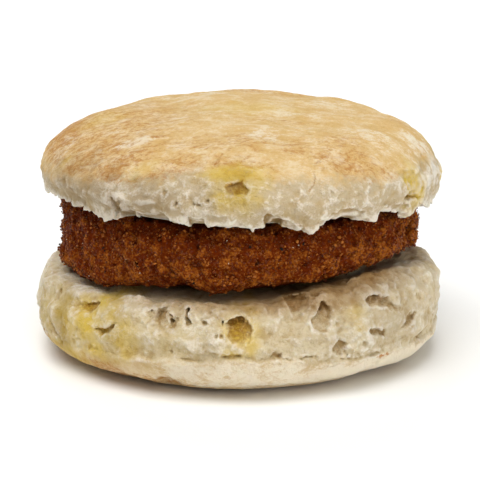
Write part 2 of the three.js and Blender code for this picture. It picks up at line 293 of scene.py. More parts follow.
# The lowest line of the upper half's torn rim: angle and height
TORN_EDGE = [
    (-180, 37.6), (-177, 38.4), (-175.5, 37.9), (-172, 36.8), (-168.5, 36.9), (-167.5, 38.6),
    (-162, 39.3), (-158, 38.9), (-157, 37.8), (-152, 37.1), (-148.5, 37.5), (-145, 38.4),
    (-141, 38.2), (-137, 39.4), (-132, 39.2), (-131.4, 37.9), (-127, 37.0), (-121, 37.3),
    (-118, 38.4), (-113, 38.9), (-108.5, 39.0), (-108, 37.6), (-103, 36.9), (-97, 37.4),
    (-93, 38.6), (-86, 38.4), (-82, 37.2), (-75, 37.4), (-70, 38.2), (-58, 37.6), (-52, 38.1),
    (-50.3, 37.3), (-47.7, 36.9), (-45.3, 36.7), (-42.4, 36.9), (-39.6, 37.3), (-38.6, 38.1),
    (-37.2, 38.4), (-35.6, 39.3), (-32.9, 39.8), (-31, 39.1), (-30.8, 38.5), (-28.3, 38.9),
    (-25.2, 39.3), (-22.3, 39.9), (-20.4, 39.4), (-18.7, 38.9), (-17.1, 38.9), (-14.7, 39.3),
    (-12.3, 39.2), (-9.4, 38.7), (-9.2, 38.0), (-8.2, 37.6), (-7.3, 37.9), (-6.8, 38.4),
    (-5.5, 38.1), (-1.4, 37.9), (2.6, 37.3), (3.5, 36.6), (4.9, 37.4), (6.2, 37.4), (7.5, 37.8),
    (7.8, 38.6), (9.5, 38.7), (11.6, 39.1), (13.2, 39.2), (13.5, 38.4), (14.6, 38.2), (14.9, 37.7),
    (15.5, 37.7), (16, 37.1), (17.5, 37.3), (18.2, 37), (20, 36.8), (20.9, 37.2), (21.7, 37.2),
    (22, 39), (23.2, 39.2), (23.8, 38.7), (26.8, 38.3), (30.6, 38.1), (33.2, 38.4), (35.6, 38.3),
    (36, 39), (36.3, 37.9), (37.6, 37.3), (39.1, 37), (41, 37.2), (42.4, 38), (44, 38.1),
    (45.4, 38.6), (45.8, 37.4), (46.6, 38), (47.6, 37.1), (48.4, 37.6), (52.4, 36.3), (55.8, 36),
    (58.8, 34.7), (60.6, 35.9), (62, 37.7), (66, 36.9), (70, 36), (74, 35), (88, 34.7), (94, 35.8),
    (97, 37.6), (104, 38.8), (110, 38.9), (111, 37.6), (116, 36.8), (122, 37), (124, 38.4),
    (130, 38.8), (135, 37.4), (139, 36.9), (143, 37.8), (146, 39.2), (152, 39.4), (153, 38),
    (158, 37.2), (163, 36.8), (166, 38), (172, 38.6), (176, 37.2), (180, 37.6),
]

# Where layers of dough are gone from the upper half's side
LEDGES = [
    Ledge(((-37.9, 44.2), (-36, 43.4), (-32.6, 42.8)), 0.9, 0.28),
    Ledge(((-32.6, 42.0), (-28.3, 42.0), (-25.1, 42.8), (-21.1, 43.3)), 0.15, 0.5),
    Ledge(((-14.9, 40.6), (-13, 40.3), (-11.1, 39.9), (-9.4, 40.3)), 0.9, 0.35),
    Ledge(((-9.4, 38.6), (-5, 39.0), (1, 38.9), (6.8, 39.4)), 0.0, 0.8),
    Ledge(((6.9, 41.6), (8, 41.1), (9.2, 40.6), (10.8, 40.2), (12.6, 39.4)), 2.2, 0.3),
    Ledge(((23.1, 38.8), (24.8, 39.9), (26.6, 40.4), (30.4, 41.1), (33.1, 40.7), (36, 39.4)), 1.0, 0.3),
    Ledge(((44.6, 39.3), (47.3, 39.5), (50.4, 39.3), (53.6, 38.2)), 0.8, 0.35),
    Ledge(((103, 40.6), (107, 41.4), (110.6, 41)), 1.0, 0.3),
    Ledge(((124.5, 40.4), (128, 41.2), (132, 40.2)), 0.9, 0.4),
    Ledge(((145.5, 41), (149, 41.8), (152.8, 41.2)), 1.3, 0.3),
    Ledge(((-167.5, 40.8), (-163, 41.8), (-158, 41)), 1.0, 0.3),
    Ledge(((-141, 40), (-136, 41.4), (-131.6, 41)), 1.1, 0.35),
    Ledge(((-117, 40.4), (-112, 41.2), (-108.3, 40.8)), 1.0, 0.3),
]

# Hairline cracks in the crust of the upper half, each from one end to the other: angle and height
CRACKS = [
    ((23.2, 49.6), (26.4, 50.2), (29.4, 51.2)),
    ((19.0, 45.4), (20.8, 46.4), (22.4, 48.8)),
    ((-8.2, 49.8), (-7.2, 50.6), (-6.2, 51.6)),
    ((141.0, 47.4), (144.0, 48.2), (147.0, 49.8)),
    ((-118.0, 47.0), (-121.0, 49.8)),
]

# Large craggy clumps of breading: angle, height, radius and how far they stand out
CLUMPS = [
    (70, 33.2, 1.5, 1.2), (74, 30.8, 1.3, 0.9), (71, 28.2, 1.7, 1.1), (80, 34.0, 1.4, 1.3),
    (78, 27.0, 1.4, 0.8), (86, 30.6, 1.7, 1.2), (92, 33.4, 1.3, 1.3), (83, 28.4, 1.1, 1.2),
    (96, 28.2, 1.5, 1.1), (62, 31.4, 1.2, 0.5), (58, 28.6, 1.4, 0.5), (51, 28.4, 1.7, 0.9),
    (48, 29.4, 1.4, 0.5), (-66, 33.8, 1.4, 0.4), (-72, 31.0, 1.5, 0.4), (-69, 27.8, 1.3, 0.7),
    (-64, 24.6, 1.4, 0.7), (-80, 29.0, 1.6, 0.6), (-78, 33.4, 1.3, 0.4), (-52, 24.8, 1.3, 0.5),
    (-24, 27.0, 1.5, 0.5), (-8, 26.0, 1.3, 0.4), (16, 28.4, 1.4, 0.5), (104, 29.0, 1.7, 0.8),
    (122, 32.0, 1.4, 0.6), (138, 27.0, 1.9, 0.9), (157, 30.0, 1.5, 0.6), (176, 26.0, 1.6, 0.7),
    (-168, 32.0, 1.4, 0.6), (-150, 27.6, 1.9, 0.9), (-131, 31.0, 1.5, 0.6), (-112, 28.0, 1.7, 0.8),
    (-96, 31.6, 1.5, 0.7),
]

# How much higher the lower half's rim and the patty's foot are than their solids: angle and height
RAISED = [
    (-180, 0), (-110, 0), (-60, -0.3), (-40, -0.7), (-20, -0.6), (-5, 0.1), (10, 0.8), (20, 1.7),
    (31, 2.6), (42, 2.8), (54, 2.6), (70, 1.7), (86, 0.6), (104, 0), (180, 0),
]
PATTY_FOOT = [
    (-180, 0), (-104, 0), (-84, -1.2), (-72, -2.2), (-50, -2.1), (-43, -1.2), (-38, 0), (-30, 0.1),
    (-25, 1.4), (-20, 2.0), (-16, 0.8), (-10, 0.8), (0, 1.6), (17, 2.1), (31, 1.7), (50, 1.2),
    (66, 1.5), (78, 2.2), (92, 0), (180, 0),
]

# Where the patty's side stands out further than its solid, and where less far, by millimetres
FULLER = [Patch(-78, 24.6, 22, 10, 1.7), Patch(74, 26, 16, 7, 0.8), Patch(150, 25, 20, 9, 1)]
LEANER = [Patch(80, 34.8, 42, 17, 2.4), Patch(-150, 33, 20, 8, 0.8)]

# Painted shade on the coating, along the top of the patty's side under the upper half's rim
PATTY_RIM_SHADE = [Patch(-62, 33, 50, 12, 0.3), Patch(-20, 35, 40, 6, 0.25), Patch(30, 35, 40, 6, 0.2)]

# How much lower the cut face is just inside the lower half's rim: angle and height
FRONT_DIP = [(-180, 0), (-110, 0), (-80, -1.8), (-50, -1.8), (-38, 0), (180, 0)]

# How wide the rounding of the lower half's upper edge is: angle and width
SHOULDER = [
    (-180, 4), (-90, 2.5), (-50, 3.5), (-20, 5), (5, 7), (20, 10), (40, 12), (60, 10), (80, 6),
    (110, 4), (180, 4),
]

# Where the upper half's side stands out further and less far, and where the lower half's is slimmer
BULGES = [
    Patch(-35.4, 41.6, 5.4, 4, 0.6),
    Patch(-26.4, 41.4, 9, 3.4, 0.8),
    Patch(-46, 40.4, 10, 6, 0.4),
    Patch(17, 41, 8, 5, 0.3),
]
NARROWED = [Patch(92, 46, 60, 9, 1.6), Patch(-52, 46.8, 8, 5, 0.4)]
SLIMMER = [Patch(88, 11.5, 50, 15, 1.5)]

# How far the foot's edge stands off the ground: angle and height
FOOT_EDGE = [
    (-180, 0.4), (-150, 1.1), (-120, 0.3), (-90, 0.6), (-70, 0.4), (-64, 0), (-52, 0), (-41, 0.2),
    (-36, 0.9), (-28, 0.65), (-25, 0.9), (-24, 1.8), (-20.4, 2.2), (-19.6, 1.5), (-16.5, 0.7),
    (26, 0.6), (34, 0.3), (37, 0.65), (39.7, 1.25), (43, 0.85), (49, 0.6), (53, 0.2), (62, 0),
    (66, 0.4), (90, 0.7), (120, 0.2), (141, 1.2), (146, 0.4), (180, 0.4),
]

# Painted shadow: how strongly the patty and the upper half shade the lower half's cut face: angle and
# strength
CUT_FACE_SHADOW = [
    (-180, 0.8), (-110, 0.5), (-80, 0.1), (-45, 0.2), (-25, 0.7), (15, 1.2), (25, 1.7), (42, 1.8),
    (54, 1), (64, 0.3), (90, 0.3), (120, 0.8), (180, 0.8),
]

# Where the crust of each half ends: angle and height, all the way round
LOWER_CRUST_LINE = [
    (-180, 8.0), (-120, 7.6), (-90, 6.6), (-62, 6.6), (-42, 7.9), (-22, 9.4), (-3, 10.6),
    (11, 10.0), (25, 8.4), (38, 7.4), (56, 7.4), (90, 7.2), (135, 8.6), (180, 8.0),
]
UPPER_CRUST_LINE = [
    (-180, 45.6), (-120, 44.6), (-80, 42.0), (-60, 43.6), (-49, 45.0), (-30, 47.6), (-13, 49.4),
    (-1, 49.2), (12, 48.2), (27, 47.4), (49, 46.0), (66, 46.6), (84, 45.8), (130, 46.4),
    (180, 45.6),
]

# Melted butter in the sides
LOWER_BUTTER = [
    Patch(-46.4, 12.6, 12, 11, 1.0),
    Patch(-51, 16, 12, 4.5, 1),
    Patch(-41, 13, 11, 6, 1),
    Patch(-45, 18, 13, 6, 0.9),
    Patch(-38.6, 15.6, 7, 9, 0.85),
    Patch(-44, 8.2, 13, 6, 0.85),
    Patch(-57, 12, 13, 12, 0.9),
    Patch(-34, 12, 10, 12, 0.75),
    Patch(-19, 13, 22, 11, 0.22),
    Patch(-70, 12, 16, 13, 0.45),
    Patch(-58, 5, 20, 7, 0.8),
    Patch(-0.2, 15.6, 8.8, 8, 1),
    Patch(2.8, 13, 5, 5, 0.7),
    Patch(-2, 11.6, 7, 3, 0.7),
    Patch(3, 19.6, 5, 2.4, 0.5),
    Patch(33.6, 17.8, 5.4, 4.4, 0.4),
    Patch(34, 15, 3.6, 3.6, 0.4),
]
UPPER_BUTTER = [
    Patch(-0.6, 45.4, 13, 8.6, 1.0),
    Patch(-0.9, 45.4, 10, 6, 1),
    Patch(1, 42.8, 8, 6, 0.5),
    Patch(57.4, 43, 9, 9.4, 1),
    Patch(60.5, 39.4, 9, 9, 1),
    Patch(-64, 46.4, 4, 3.4, 0.35),
]

# Painted light: paler dough where the upper half's side is brighter
UPPER_PAINTED_LIGHT = [Patch(80, 43, 20, 14, 0.45), Patch(62, 42, 18, 12, 0.4)]

# Painted shade: greyer, darker dough where the lower half's side and cut face lie in shade, and where
# the upper half's side does
LOWER_PAINTED_SHADE = [
    Patch(44, 21.5, 34, 6, 0.6),
    Patch(-70, 13, 20, 22, 0.45),
    Patch(-59, 11, 9, 19, 1),
    Patch(-18, 13, 26, 12, 0.3),
    Patch(46, 15, 30, 16, 0.5),
    Patch(27, 14, 22, 14, 0.25),
    Patch(-9, 13, 8, 12, 0.5),
    Patch(-38, 13, 12, 14, 0.5),
]
UPPER_PAINTED_SHADE = [
    Patch(-54, 43, 38, 14, 1),
    Patch(-40, 42, 14, 10, 1),
    Patch(-33, 41, 8, 7, 1),
    Patch(-26, 43, 22, 10, 0.95),
    Patch(-9.5, 43.6, 10, 9, 0.65),
    Patch(-1, 45.4, 11, 9, 0.7),
    Patch(-36, 39.6, 6, 3, 0.7),
    Patch(-26, 39.4, 9, 2.4, 1),
]

# Browned places on the lower half's foot
TOASTED_FOOT = [
    Patch(-68, 4.5, 12, 6, 0.55),
    Patch(-56, 2.5, 14, 4, 0.4),
    Patch(-70, 3.2, 18, 7, 0.8),
    Patch(-46, 3, 26, 7, 0.95),
    Patch(-28, 2.2, 22, 5, 0.7),
    Patch(-12, 1, 14, 2.4, 0.4),
    Patch(32, 3.6, 16, 1.8, 1.0),
    Patch(41, 6.5, 5, 1.6, 0.6),
    Patch(13.4, 7.4, 1.2, 0.6, 0.8),
    Patch(-10.1, 6.3, 1.2, 0.7, 0.7),
    Patch(-18.8, 4.3, 0.9, 1.6, 0.8),
]

# Where the lower half's dough is crumbly
CRUMBLY = [Patch(33, 8.6, 17, 5.4, 1.0), Patch(-8, 12, 16, 3, 0.3)]

# The crown in plan: dips that are lower by millimetres, and then browning, flour, butter and specks
DIPS = [
    Spot(-15.5, 8, 13, 70, 0.8),
    Spot(1.5, 6, 9, 50, 0.5),
    Spot(22, 6, 34, 60, 0.85),
    Spot(-24, -18, 12, 9, 0.4),
]
BROWNED = [
    Spot(-30, -8, 46, 64, 0.62),
    Spot(-0.5, -38, 16, 7, 0.75),
    Spot(-22, -35, 12, 5, 0.35),
    Spot(-39, 2, 14, 40, 1.15),
    Spot(-30, -22, 26, 14, 0.75),
    Spot(-4, -28, 44, 12, 0.5),
    Spot(22, -25, 20, 10, 0.45),
    Spot(-33, -24.5, 15, 8, 0.7),
    Spot(-26, -29.5, 18, 9, 0.9),
    Spot(-13, -35, 18, 8, 0.6),
    Spot(-39, -19, 6, 14, 0.5),
    Spot(13, -31, 14, 8, 0.55),
    Spot(20, -32.5, 17, 8, 0.7),
    Spot(27, -29, 14, 9, 0.55),
    Spot(36, 4, 8, 20, 0.4),
    Spot(10, -11.5, 20, 5, 0.4),
    Spot(-16, 8, 20, 12, 0.35),
    Spot(8, 29, 34, 12, 0.55),
    Spot(-26, 28, 20, 16, 0.6),
    Spot(27, 27, 18, 16, 0.45),
]
FLOURED = [
    Spot(28.5, -16, 13, 12, 0.6),
    Spot(-24, -23, 17, 5, 0.7),
    Spot(12, -4, 15, 8, 0.6),
    Spot(5.5, -22.5, 11, 9, 0.6),
    Spot(-38.5, -12, 4, 12, 0.6),
    Spot(42, -13, 13, 28, 1.4),
    Spot(-6, -6, 26, 9, 0.4),
    Spot(-10, 22, 16, 10, 0.5),
    Spot(20, 14, 12, 9, 0.45),
]
CROWN_BUTTER = [
    Spot(2, 0, 24, 16, 0.25),
    Spot(-31, -2, 12, 14, 0.25),
    Spot(-1.2, -40, 14, 6, 0.8),
    Spot(-20, -34, 8, 4, 0.3),
]
DARK_SPECKS = [
    Spot(-18.3, -22.8, 1.1, 1.1, 1),
    Spot(-16.4, -22.7, 0.8, 0.8, 0.8),
    Spot(9.5, -10.6, 0.9, 0.9, 0.7),
]


def smooth(value, low, high):
    """0 below low, 1 above high and an even slope between them."""
    share = np.clip((value - low) / (high - low), 0, 1)
    return share * share * (3 - 2 * share)


def daylight(red, green, blue):
    """A colour as seen, from 0 to 255, as the linear light that Blender works in."""
    seen = np.array([red, green, blue]) / 255
    return tuple(np.where(seen <= 0.04045, seen / 12.92, ((seen + 0.055) / 1.055) ** 2.4))


def turned(angle, from_angle):
    """Degrees from one angle to another, the shorter way round."""
    return (angle - from_angle + 180) % 360 - 180


def all_round(marks):
    """Marks on the front of a side, and their repeats behind."""
    every = list(marks)
    for turn, way, start, end in BEHIND:
        for mark in marks:
            if isinstance(mark, Pocket):
                outline = tuple((turn + way * angle, height) for angle, height in mark.outline)
                angle, copy = outline[0][0], mark._replace(outline=outline)
            else:
                angle = turn + way * mark.angle
                copy = mark._replace(angle=angle)
            if start < angle % 360 < end:
                every.append(copy)
    return every


def along(line, place):
    """What a line of angles and values says at each point's angle."""
    return np.interp(place.angle, *zip(*line), period=360)


def inside_outline(across, up, outline):
    """How far inside an outline points are, or outside it where that is negative."""
    far = np.full(len(across), np.inf)
    inside = np.zeros(len(across), bool)
    for (left, low), (right, high) in zip(outline, outline[1:] + outline[:1]):
        width, rise = right - left, high - low
        share = np.clip(((across - left) * width + (up - low) * rise) / (width**2 + rise**2), 0, 1)
        far = np.minimum(far, np.hypot(across - left - share * width, up - low - share * rise))
        if rise:
            inside ^= ((low > up) != (high > up)) & (across < left + (up - low) * width / rise)
    return np.where(inside, far, -far)


def pocket_span(pocket):
    """The angles between which a pocket may change the side."""
    angles = [angle for angle, height in pocket.outline]
    return min(angles) - 2, max(angles) + 2


def pocket_heights(pocket):
    """The lowest and the highest point of a pocket."""
    heights = [height for angle, height in pocket.outline]
    return min(heights), max(heights)


def pocket_reach(pocket, place, waves):
    """How far inside a pocket's ragged outline points are, and how high in it, from 0 to 1."""
    middle = pocket.outline[0][0]
    bottom, top = pocket_heights(pocket)
    outline = tuple(((angle - middle) * DEGREE, height) for angle, height in pocket.outline)
    across = turned(place.angle, middle) * DEGREE + 0.3 * waves(place, 1.1, 3)
    up = place.z + 0.3 * waves(place.moved(17), 1.1, 3)
    return inside_outline(across, up, outline), np.clip((up - bottom) / (top - bottom), 0, 1)


def pocket_marks(pockets, place, waves):
    """How strongly the pockets shade each point of a side, and how brown their upper edges are."""
    shade = np.zeros(len(place.x), np.float32)
    brown = np.zeros(len(place.x), np.float32)
    for pocket in pockets:
        start, end = pocket_span(pocket)
        bottom, top = pocket_heights(pocket)
        turn = turned(place.angle, start)
        level = (place.z > bottom - 1) & (place.z < top + 1)
        found = np.nonzero((turn > 0) & (turn < end - start) & level)[0]
        part = Place(place.x[found], place.y[found], place.z[found])
        far, share = pocket_reach(pocket, part, waves)
        inside = smooth(far, -0.1, 0.5) * min(1, 0.7 * pocket.depth)
        shade[found] = np.maximum(shade[found], inside * (0.4 + 0.6 * share))
        edge = smooth(share, 0.55, 0.85) * smooth(far, -0.5, -0.1) * (1 - smooth(far, 0.2, 0.6))
        brown[found] = np.maximum(brown[found], pocket.toasted * edge)
    return shade, brown


def crack_marks(cracks, place):
    """Which points of a side are on a crack."""
    mark = np.zeros(len(place.x), np.float32)
    for crack in cracks:
        start, bottom = crack[0]
        across, up = turned(place.angle, start) * DEGREE, place.z - bottom
        corners = [((angle - start) * DEGREE, height - bottom) for angle, height in crack]
        for (x, y), (next_x, next_y) in zip(corners, corners[1:]):
            along_x, along_y = next_x - x, next_y - y
            share = ((across - x) * along_x + (up - y) * along_y) / (along_x**2 + along_y**2)
            share = np.clip(share, 0, 1)
            far = np.hypot(across - x - share * along_x, up - y - share * along_y)
            mark = np.maximum(mark, 1 - smooth(far, 0.05, 0.35))
    return mark


def ledge_edge(ledge, place, waves):
    """How high a ledge's ragged edge is at each point's angle."""
    return np.interp(place.angle, *zip(*ledge.edge)) + 0.3 * waves(place.levelled(), 1.0, 3)


def recess_marks(ledges, place, waves):
    """How strongly the recesses under ledges are shaded."""
    shade = np.zeros(len(place.x), np.float32)
    for ledge in ledges:
        start, end = ledge.edge[0][0], ledge.edge[-1][0]
        inside = (place.angle > start) & (place.angle < end) & (place.radius > SIDE_FROM)
        under = smooth(ledge_edge(ledge, place, waves) - place.z, -0.1, 0.3)
        shade = np.maximum(shade, inside * under * min(0.9, 0.5 * ledge.step))
    return shade


class Place:
    """Points in space in millimetres, with their distance from the upright axis and angle round it."""

    def __init__(self, x, y, z, index=None):
        self.x = np.asarray(x, np.float32)
        self.y = np.asarray(y, np.float32)
        self.z = np.asarray(z, np.float32)
        self.index = index
        self.radius = np.hypot(self.x, self.y)
        self.angle = np.degrees(np.arctan2(self.x, -self.y))

    def levelled(self):
        """The same points all at one height."""
        return Place(self.x, self.y, np.zeros_like(self.z))

    def moved(self, shift):
        """The points moved along every axis, to read other unevenness of the same kind."""
        return Place(self.x + shift, self.y + shift, self.z + shift)

    def stretched(self, x, y, z):
        """The same points on a scale where a number below 1 makes unevenness longer along its axis."""
        return Place(self.x * x, self.y * y, self.z * z)


class Waves:
    """Smooth random unevenness in space, from about -1 to 1, always the same for one seed."""

    # How many random values there are along each axis, and how far each finer layer is turned
    SIDE = 64
    TURN = math.radians(37)

    def __init__(self, seed):
        self.levels = np.random.default_rng(seed).uniform(-1, 1, self.SIDE**3).astype(np.float32)

    def _layer(self, x, y, z):
        """The random values, with smooth steps between neighbours."""
        wrap = self.SIDE - 1
        corner, part = [], []
        for value in (x, y, z):
            whole = np.floor(value)
            share = value - whole
            part.append(share * share * (3 - 2 * share))
            low = whole.astype(np.int32) & wrap
            corner.append((low, (low + 1) & wrap))
        total = 0
        for i in (0, 1):
            share_x = part[0] if i else 1 - part[0]
            for j in (0, 1):
                share_xy = share_x * (part[1] if j else 1 - part[1])
                row = (corner[0][i] * self.SIDE + corner[1][j]) * self.SIDE
                for k in (0, 1):
                    share_z = part[2] if k else 1 - part[2]
                    total = total + share_xy * share_z * self.levels[row + corner[2][k]]
        return total

    def __call__(self, place, size, layers=1):
        """Unevenness of a width in millimetres, in layers of half the size and strength each."""
        x, y, z = place.x / size, place.y / size, place.z / size
        cosine, sine = math.cos(self.TURN), math.sin(self.TURN)
        total, strength = 0, 1.3
        for layer in range(layers):
            total = total + strength * self._layer(x, y, z)
            x, y, z = 2 * (cosine * x + sine * y) + 11.3, 2 * (cosine * y - sine * x) - 7.1, 2 * z + 5.7
            strength *= 0.5
        return total


class Block:
    """A piece as distances from its surface on an even grid, negative inside and positive outside."""

    # How far from the surface distances are known, how many cells stay free round the piece,
    # how far apart its widths are taken and how widely its facets are smoothed
    REACH = 3.0
    MARGIN = 8
    LEVEL = 0.5
    SMOOTHED = 1.3

    def __init__(self, node, cell):
        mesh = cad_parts[node].data
        mesh.calc_loop_triangles()
        corners = read(mesh.vertices, "co", 3) / MM
        triangles = read(mesh.loop_triangles, "vertices", 3, np.int32).astype(np.uint32)
        self.cell = cell
        self.transform = vdb.createLinearTransform(voxelSize=cell)
        grid = vdb.FloatGrid.createLevelSetFromPolygons(
            corners.astype(np.float32), triangles=triangles, transform=self.transform,
            halfWidth=self.REACH / cell,
        )
        self.start = np.floor(corners.min(axis=0) / cell).astype(int) - self.MARGIN
        end = np.ceil(corners.max(axis=0) / cell).astype(int) + self.MARGIN
        self.distance = np.empty(end - self.start, np.float32)
        grid.copyToArray(self.distance, ijk=self.start.tolist())
        self.low, self.high = corners[:, 2].min(), corners[:, 2].max()
        self.soften(self.SMOOTHED)

    def soften(self, width):
        """Averages over a small cube, twice, so that the solid's facets turn into one smooth skin."""
        half = max(1, round(width / self.cell / 2))
        for axis in (0, 1, 2, 0, 1, 2):
            self.distance = average_along(self.distance, axis, half)
        self.keep_plain()

    def keep_plain(self):
        """Remembers the skin as it is now, and how wide it is at each whole degree and each level."""
        self.plain = self.distance.copy()
        angles = np.radians(ALL_ANGLES)
        levels = np.arange(self.low, self.high, self.LEVEL)
        reach = np.arange(30, 50, self.cell / 2)
        x = np.sin(angles)[:, None, None] * reach
        y = -np.cos(angles)[:, None, None] * reach
        z = np.broadcast_to(levels[None, :, None], (len(angles), len(levels), len(reach)))
        points = np.stack([np.broadcast_to(x, z.shape), np.broadcast_to(y, z.shape), z], axis=-1)
        inside = self.sample_plain(points.reshape(-1, 3)).reshape(z.shape) < 0
        self.widths = np.where(inside, reach, 0).max(axis=2)
        for level in range(len(levels) - 2, -1, -1):
            missing = self.widths[:, level] == 0
            self.widths[missing, level] = self.widths[missing, level + 1]

    def width_at(self, angle, height):
        """How far the plain side is from the axis, at an angle and a height."""
        turn = (np.asarray(angle) + 180) % 360
        level = np.clip((np.asarray(height) - self.low) / self.LEVEL, 0, self.widths.shape[1] - 1.001)
        i, j = np.floor(turn).astype(int) % 360, np.floor(level).astype(int)
        share_i, share_j = turn - np.floor(turn), level - j
        after = (i + 1) % 360
        near = self.widths[i, j] * (1 - share_j) + self.widths[i, j + 1] * share_j
        far = self.widths[after, j] * (1 - share_j) + self.widths[after, j + 1] * share_j
        return near * (1 - share_i) + far * share_i

    def fill_sides(self, low, high):
        """Fills the solid's own coarse pockets between two heights, before finer ones are cut.

        Each width becomes one that most of its neighbours within 10 degrees don't pass, smoothed over
        4 degrees either way.
        """
        turns = np.stack([np.roll(self.widths, shift, axis=0) for shift in range(-10, 11)])
        full = np.percentile(turns, 72, axis=0)
        full = sum(np.roll(full, shift, axis=0) for shift in range(-4, 5)) / 9
        self.widths = np.maximum(full, self.widths)
        place = self.near(self.REACH, low - 1, high + 1)
        side = place.radius - self.width_at(place.angle, place.z)
        body = np.maximum(side, np.maximum(place.z - high, low - place.z))
        self.distance[place.index] = soft_minimum(self.distance[place.index], body, 0.8)
        self.keep_plain()

    def near(self, reach, lowest=-math.inf, highest=math.inf):
        """The grid points within reach of the surface, between two heights."""
        depth = self.distance.shape[2]
        low = int(np.clip(lowest / self.cell - self.start[2], 0, depth))
        high = int(np.clip(highest / self.cell - self.start[2], 0, depth))
        found = np.nonzero(np.abs(self.distance[:, :, low:high]) < reach)
        return self.at((found[0], found[1], found[2] + low))

    def only(self, place, found):
        """The grid points of a place that were found."""
        return self.at(tuple(axis[found] for axis in place.index))

    def at(self, index):
        """The grid points at an index for each axis."""
        return Place(*((index[axis] + self.start[axis]) * self.cell for axis in range(3)), index=index)

    def swell(self, place, amount):
        """Moves the surface out by an amount in millimetres, or in where that is negative."""
        self.distance[place.index] -= amount

    def surface(self):
        """Grid points on the surface, in a steady order, and the unit direction out of it at each."""
        inner = self.distance[1:-1, 1:-1, 1:-1]
        i, j, k = (found + 1 for found in np.nonzero(np.abs(inner) < 0.5 * self.cell))
        grid = self.distance
        slope = np.stack(
            [
                grid[i + 1, j, k] - grid[i - 1, j, k],
                grid[i, j + 1, k] - grid[i, j - 1, k],
                grid[i, j, k + 1] - grid[i, j, k - 1],
            ],
            axis=1,
        )
        slope /= np.maximum(np.linalg.norm(slope, axis=1, keepdims=True), 1e-6)
        return self.at((i, j, k)), slope

    def stamp(self, centre, axes, radii, grow, soft, waves=None, rough=0.0):
        """Joins a rounded lump to the piece, or cuts a rounded hollow into it.

        The lump's own axes are the rows of axes: across, along and out of the surface.
        """
        span = (max(radii) + soft + self.cell) / self.cell
        middle = np.asarray(centre) / self.cell - self.start
        low = np.maximum(np.floor(middle - span).astype(int), 0)
        high = np.minimum(np.ceil(middle + span).astype(int) + 1, self.distance.shape)
        if np.any(low >= high):
            return
        window = tuple(slice(a, b) for a, b in zip(low, high))
        x, y, z = (
            (np.arange(low[axis], high[axis]) + self.start[axis]) * self.cell - centre[axis]
            for axis in range(3)
        )
        x, y, z = x[:, None, None], y[None, :, None], z[None, None, :]
        part = [np.abs((x * row[0] + y * row[1] + z * row[2]) / size) for row, size in zip(axes, radii)]
        share = np.sqrt(part[0] ** 2 + part[1] ** 2 + part[2] ** 2)
        shape = (share - 1) * min(radii)
        if rough:
            shape = shape + rough * waves(Place(x + centre[0], y + centre[1], z + centre[2]), 1.1, 2)
        here = self.distance[window]
        if grow:
            self.distance[window] = soft_minimum(here, shape, soft)
        else:
            self.distance[window] = -soft_minimum(-here, shape, soft)

    def side_parts(self, spans):
        """For each span of angles, the grid points near the side in it."""
        whole = self.near(self.REACH)
        side = np.nonzero(whole.radius > SIDE_FROM)[0]
        side = side[np.argsort(whole.angle[side])]
        angles = whole.angle[side]
        for start, end in spans:
            start = turned(start, 0)
            end = start + turned(end, start)
            cuts = np.searchsorted(angles, (start, end, end - 360))
            yield self.only(whole, np.concatenate([side[cuts[0]:cuts[1]], side[: cuts[2]]]))

    def lift(self, line, weight, place, waves):
        """Moves the parts with weight up by a line of angles and heights."""
        uneven = 1 + 0.15 * waves(place.levelled(), 1.6, 2)
        self.slide_down(place, -along(line, place) * uneven * weight)
        self.keep_plain()

    def carve(self, pockets, waves):
        """Cuts pockets into the side by moving its surface in."""
        for pocket, place in zip(pockets, self.side_parts(map(pocket_span, pockets))):
            bottom, top = pocket_heights(pocket)
            place = self.only(place, (place.z > bottom - 1.5) & (place.z < top + 1.5))
            far, share = pocket_reach(pocket, place, waves)
            depth = 0.75 * pocket.depth * (pocket.floor + (1 - pocket.floor) * share)
            depth = depth * (1 + 0.25 * waves(place, 1.4, 2))
            strand = smooth(waves(place.stretched(1, 1, 0.2), 0.55), 0.0, 0.35)
            depth = depth * (1 - pocket.strands * strand)
            wall = 0.3 + 0.13 * pocket.depth + 0.6 * (1 - share)
            wall = np.minimum(wall, 0.8 * np.max(far, initial=0.2))
            rim = 0.05 * smooth(far, -0.9, -0.1) * (1 - smooth(far, -0.1, 0.1))
            self.distance[place.index] += depth * smooth(far, -0.1, wall) - rim

    def cut_back(self, ledges, waves):
        """Removes the outermost layer of dough below ledges."""
        spans = [(ledge.edge[0][0] - 1, ledge.edge[-1][0] + 1) for ledge in ledges]
        for ledge, place in zip(ledges, self.side_parts(spans)):
            start, end = ledge.edge[0][0], ledge.edge[-1][0]
            edge = ledge_edge(ledge, place, waves)
            depth = ledge.step + ledge.slope * np.maximum(edge - place.z, 0)
            depth = depth + 0.2 * waves(place, 1.0, 2)
            inner = self.width_at(place.angle, place.z) - depth
            ends = np.maximum(start - place.angle, place.angle - end) * DEGREE
            gone = np.maximum(np.maximum(place.z - edge, inner - place.radius), ends)
            self.distance[place.index] = np.maximum(self.distance[place.index], -gone)

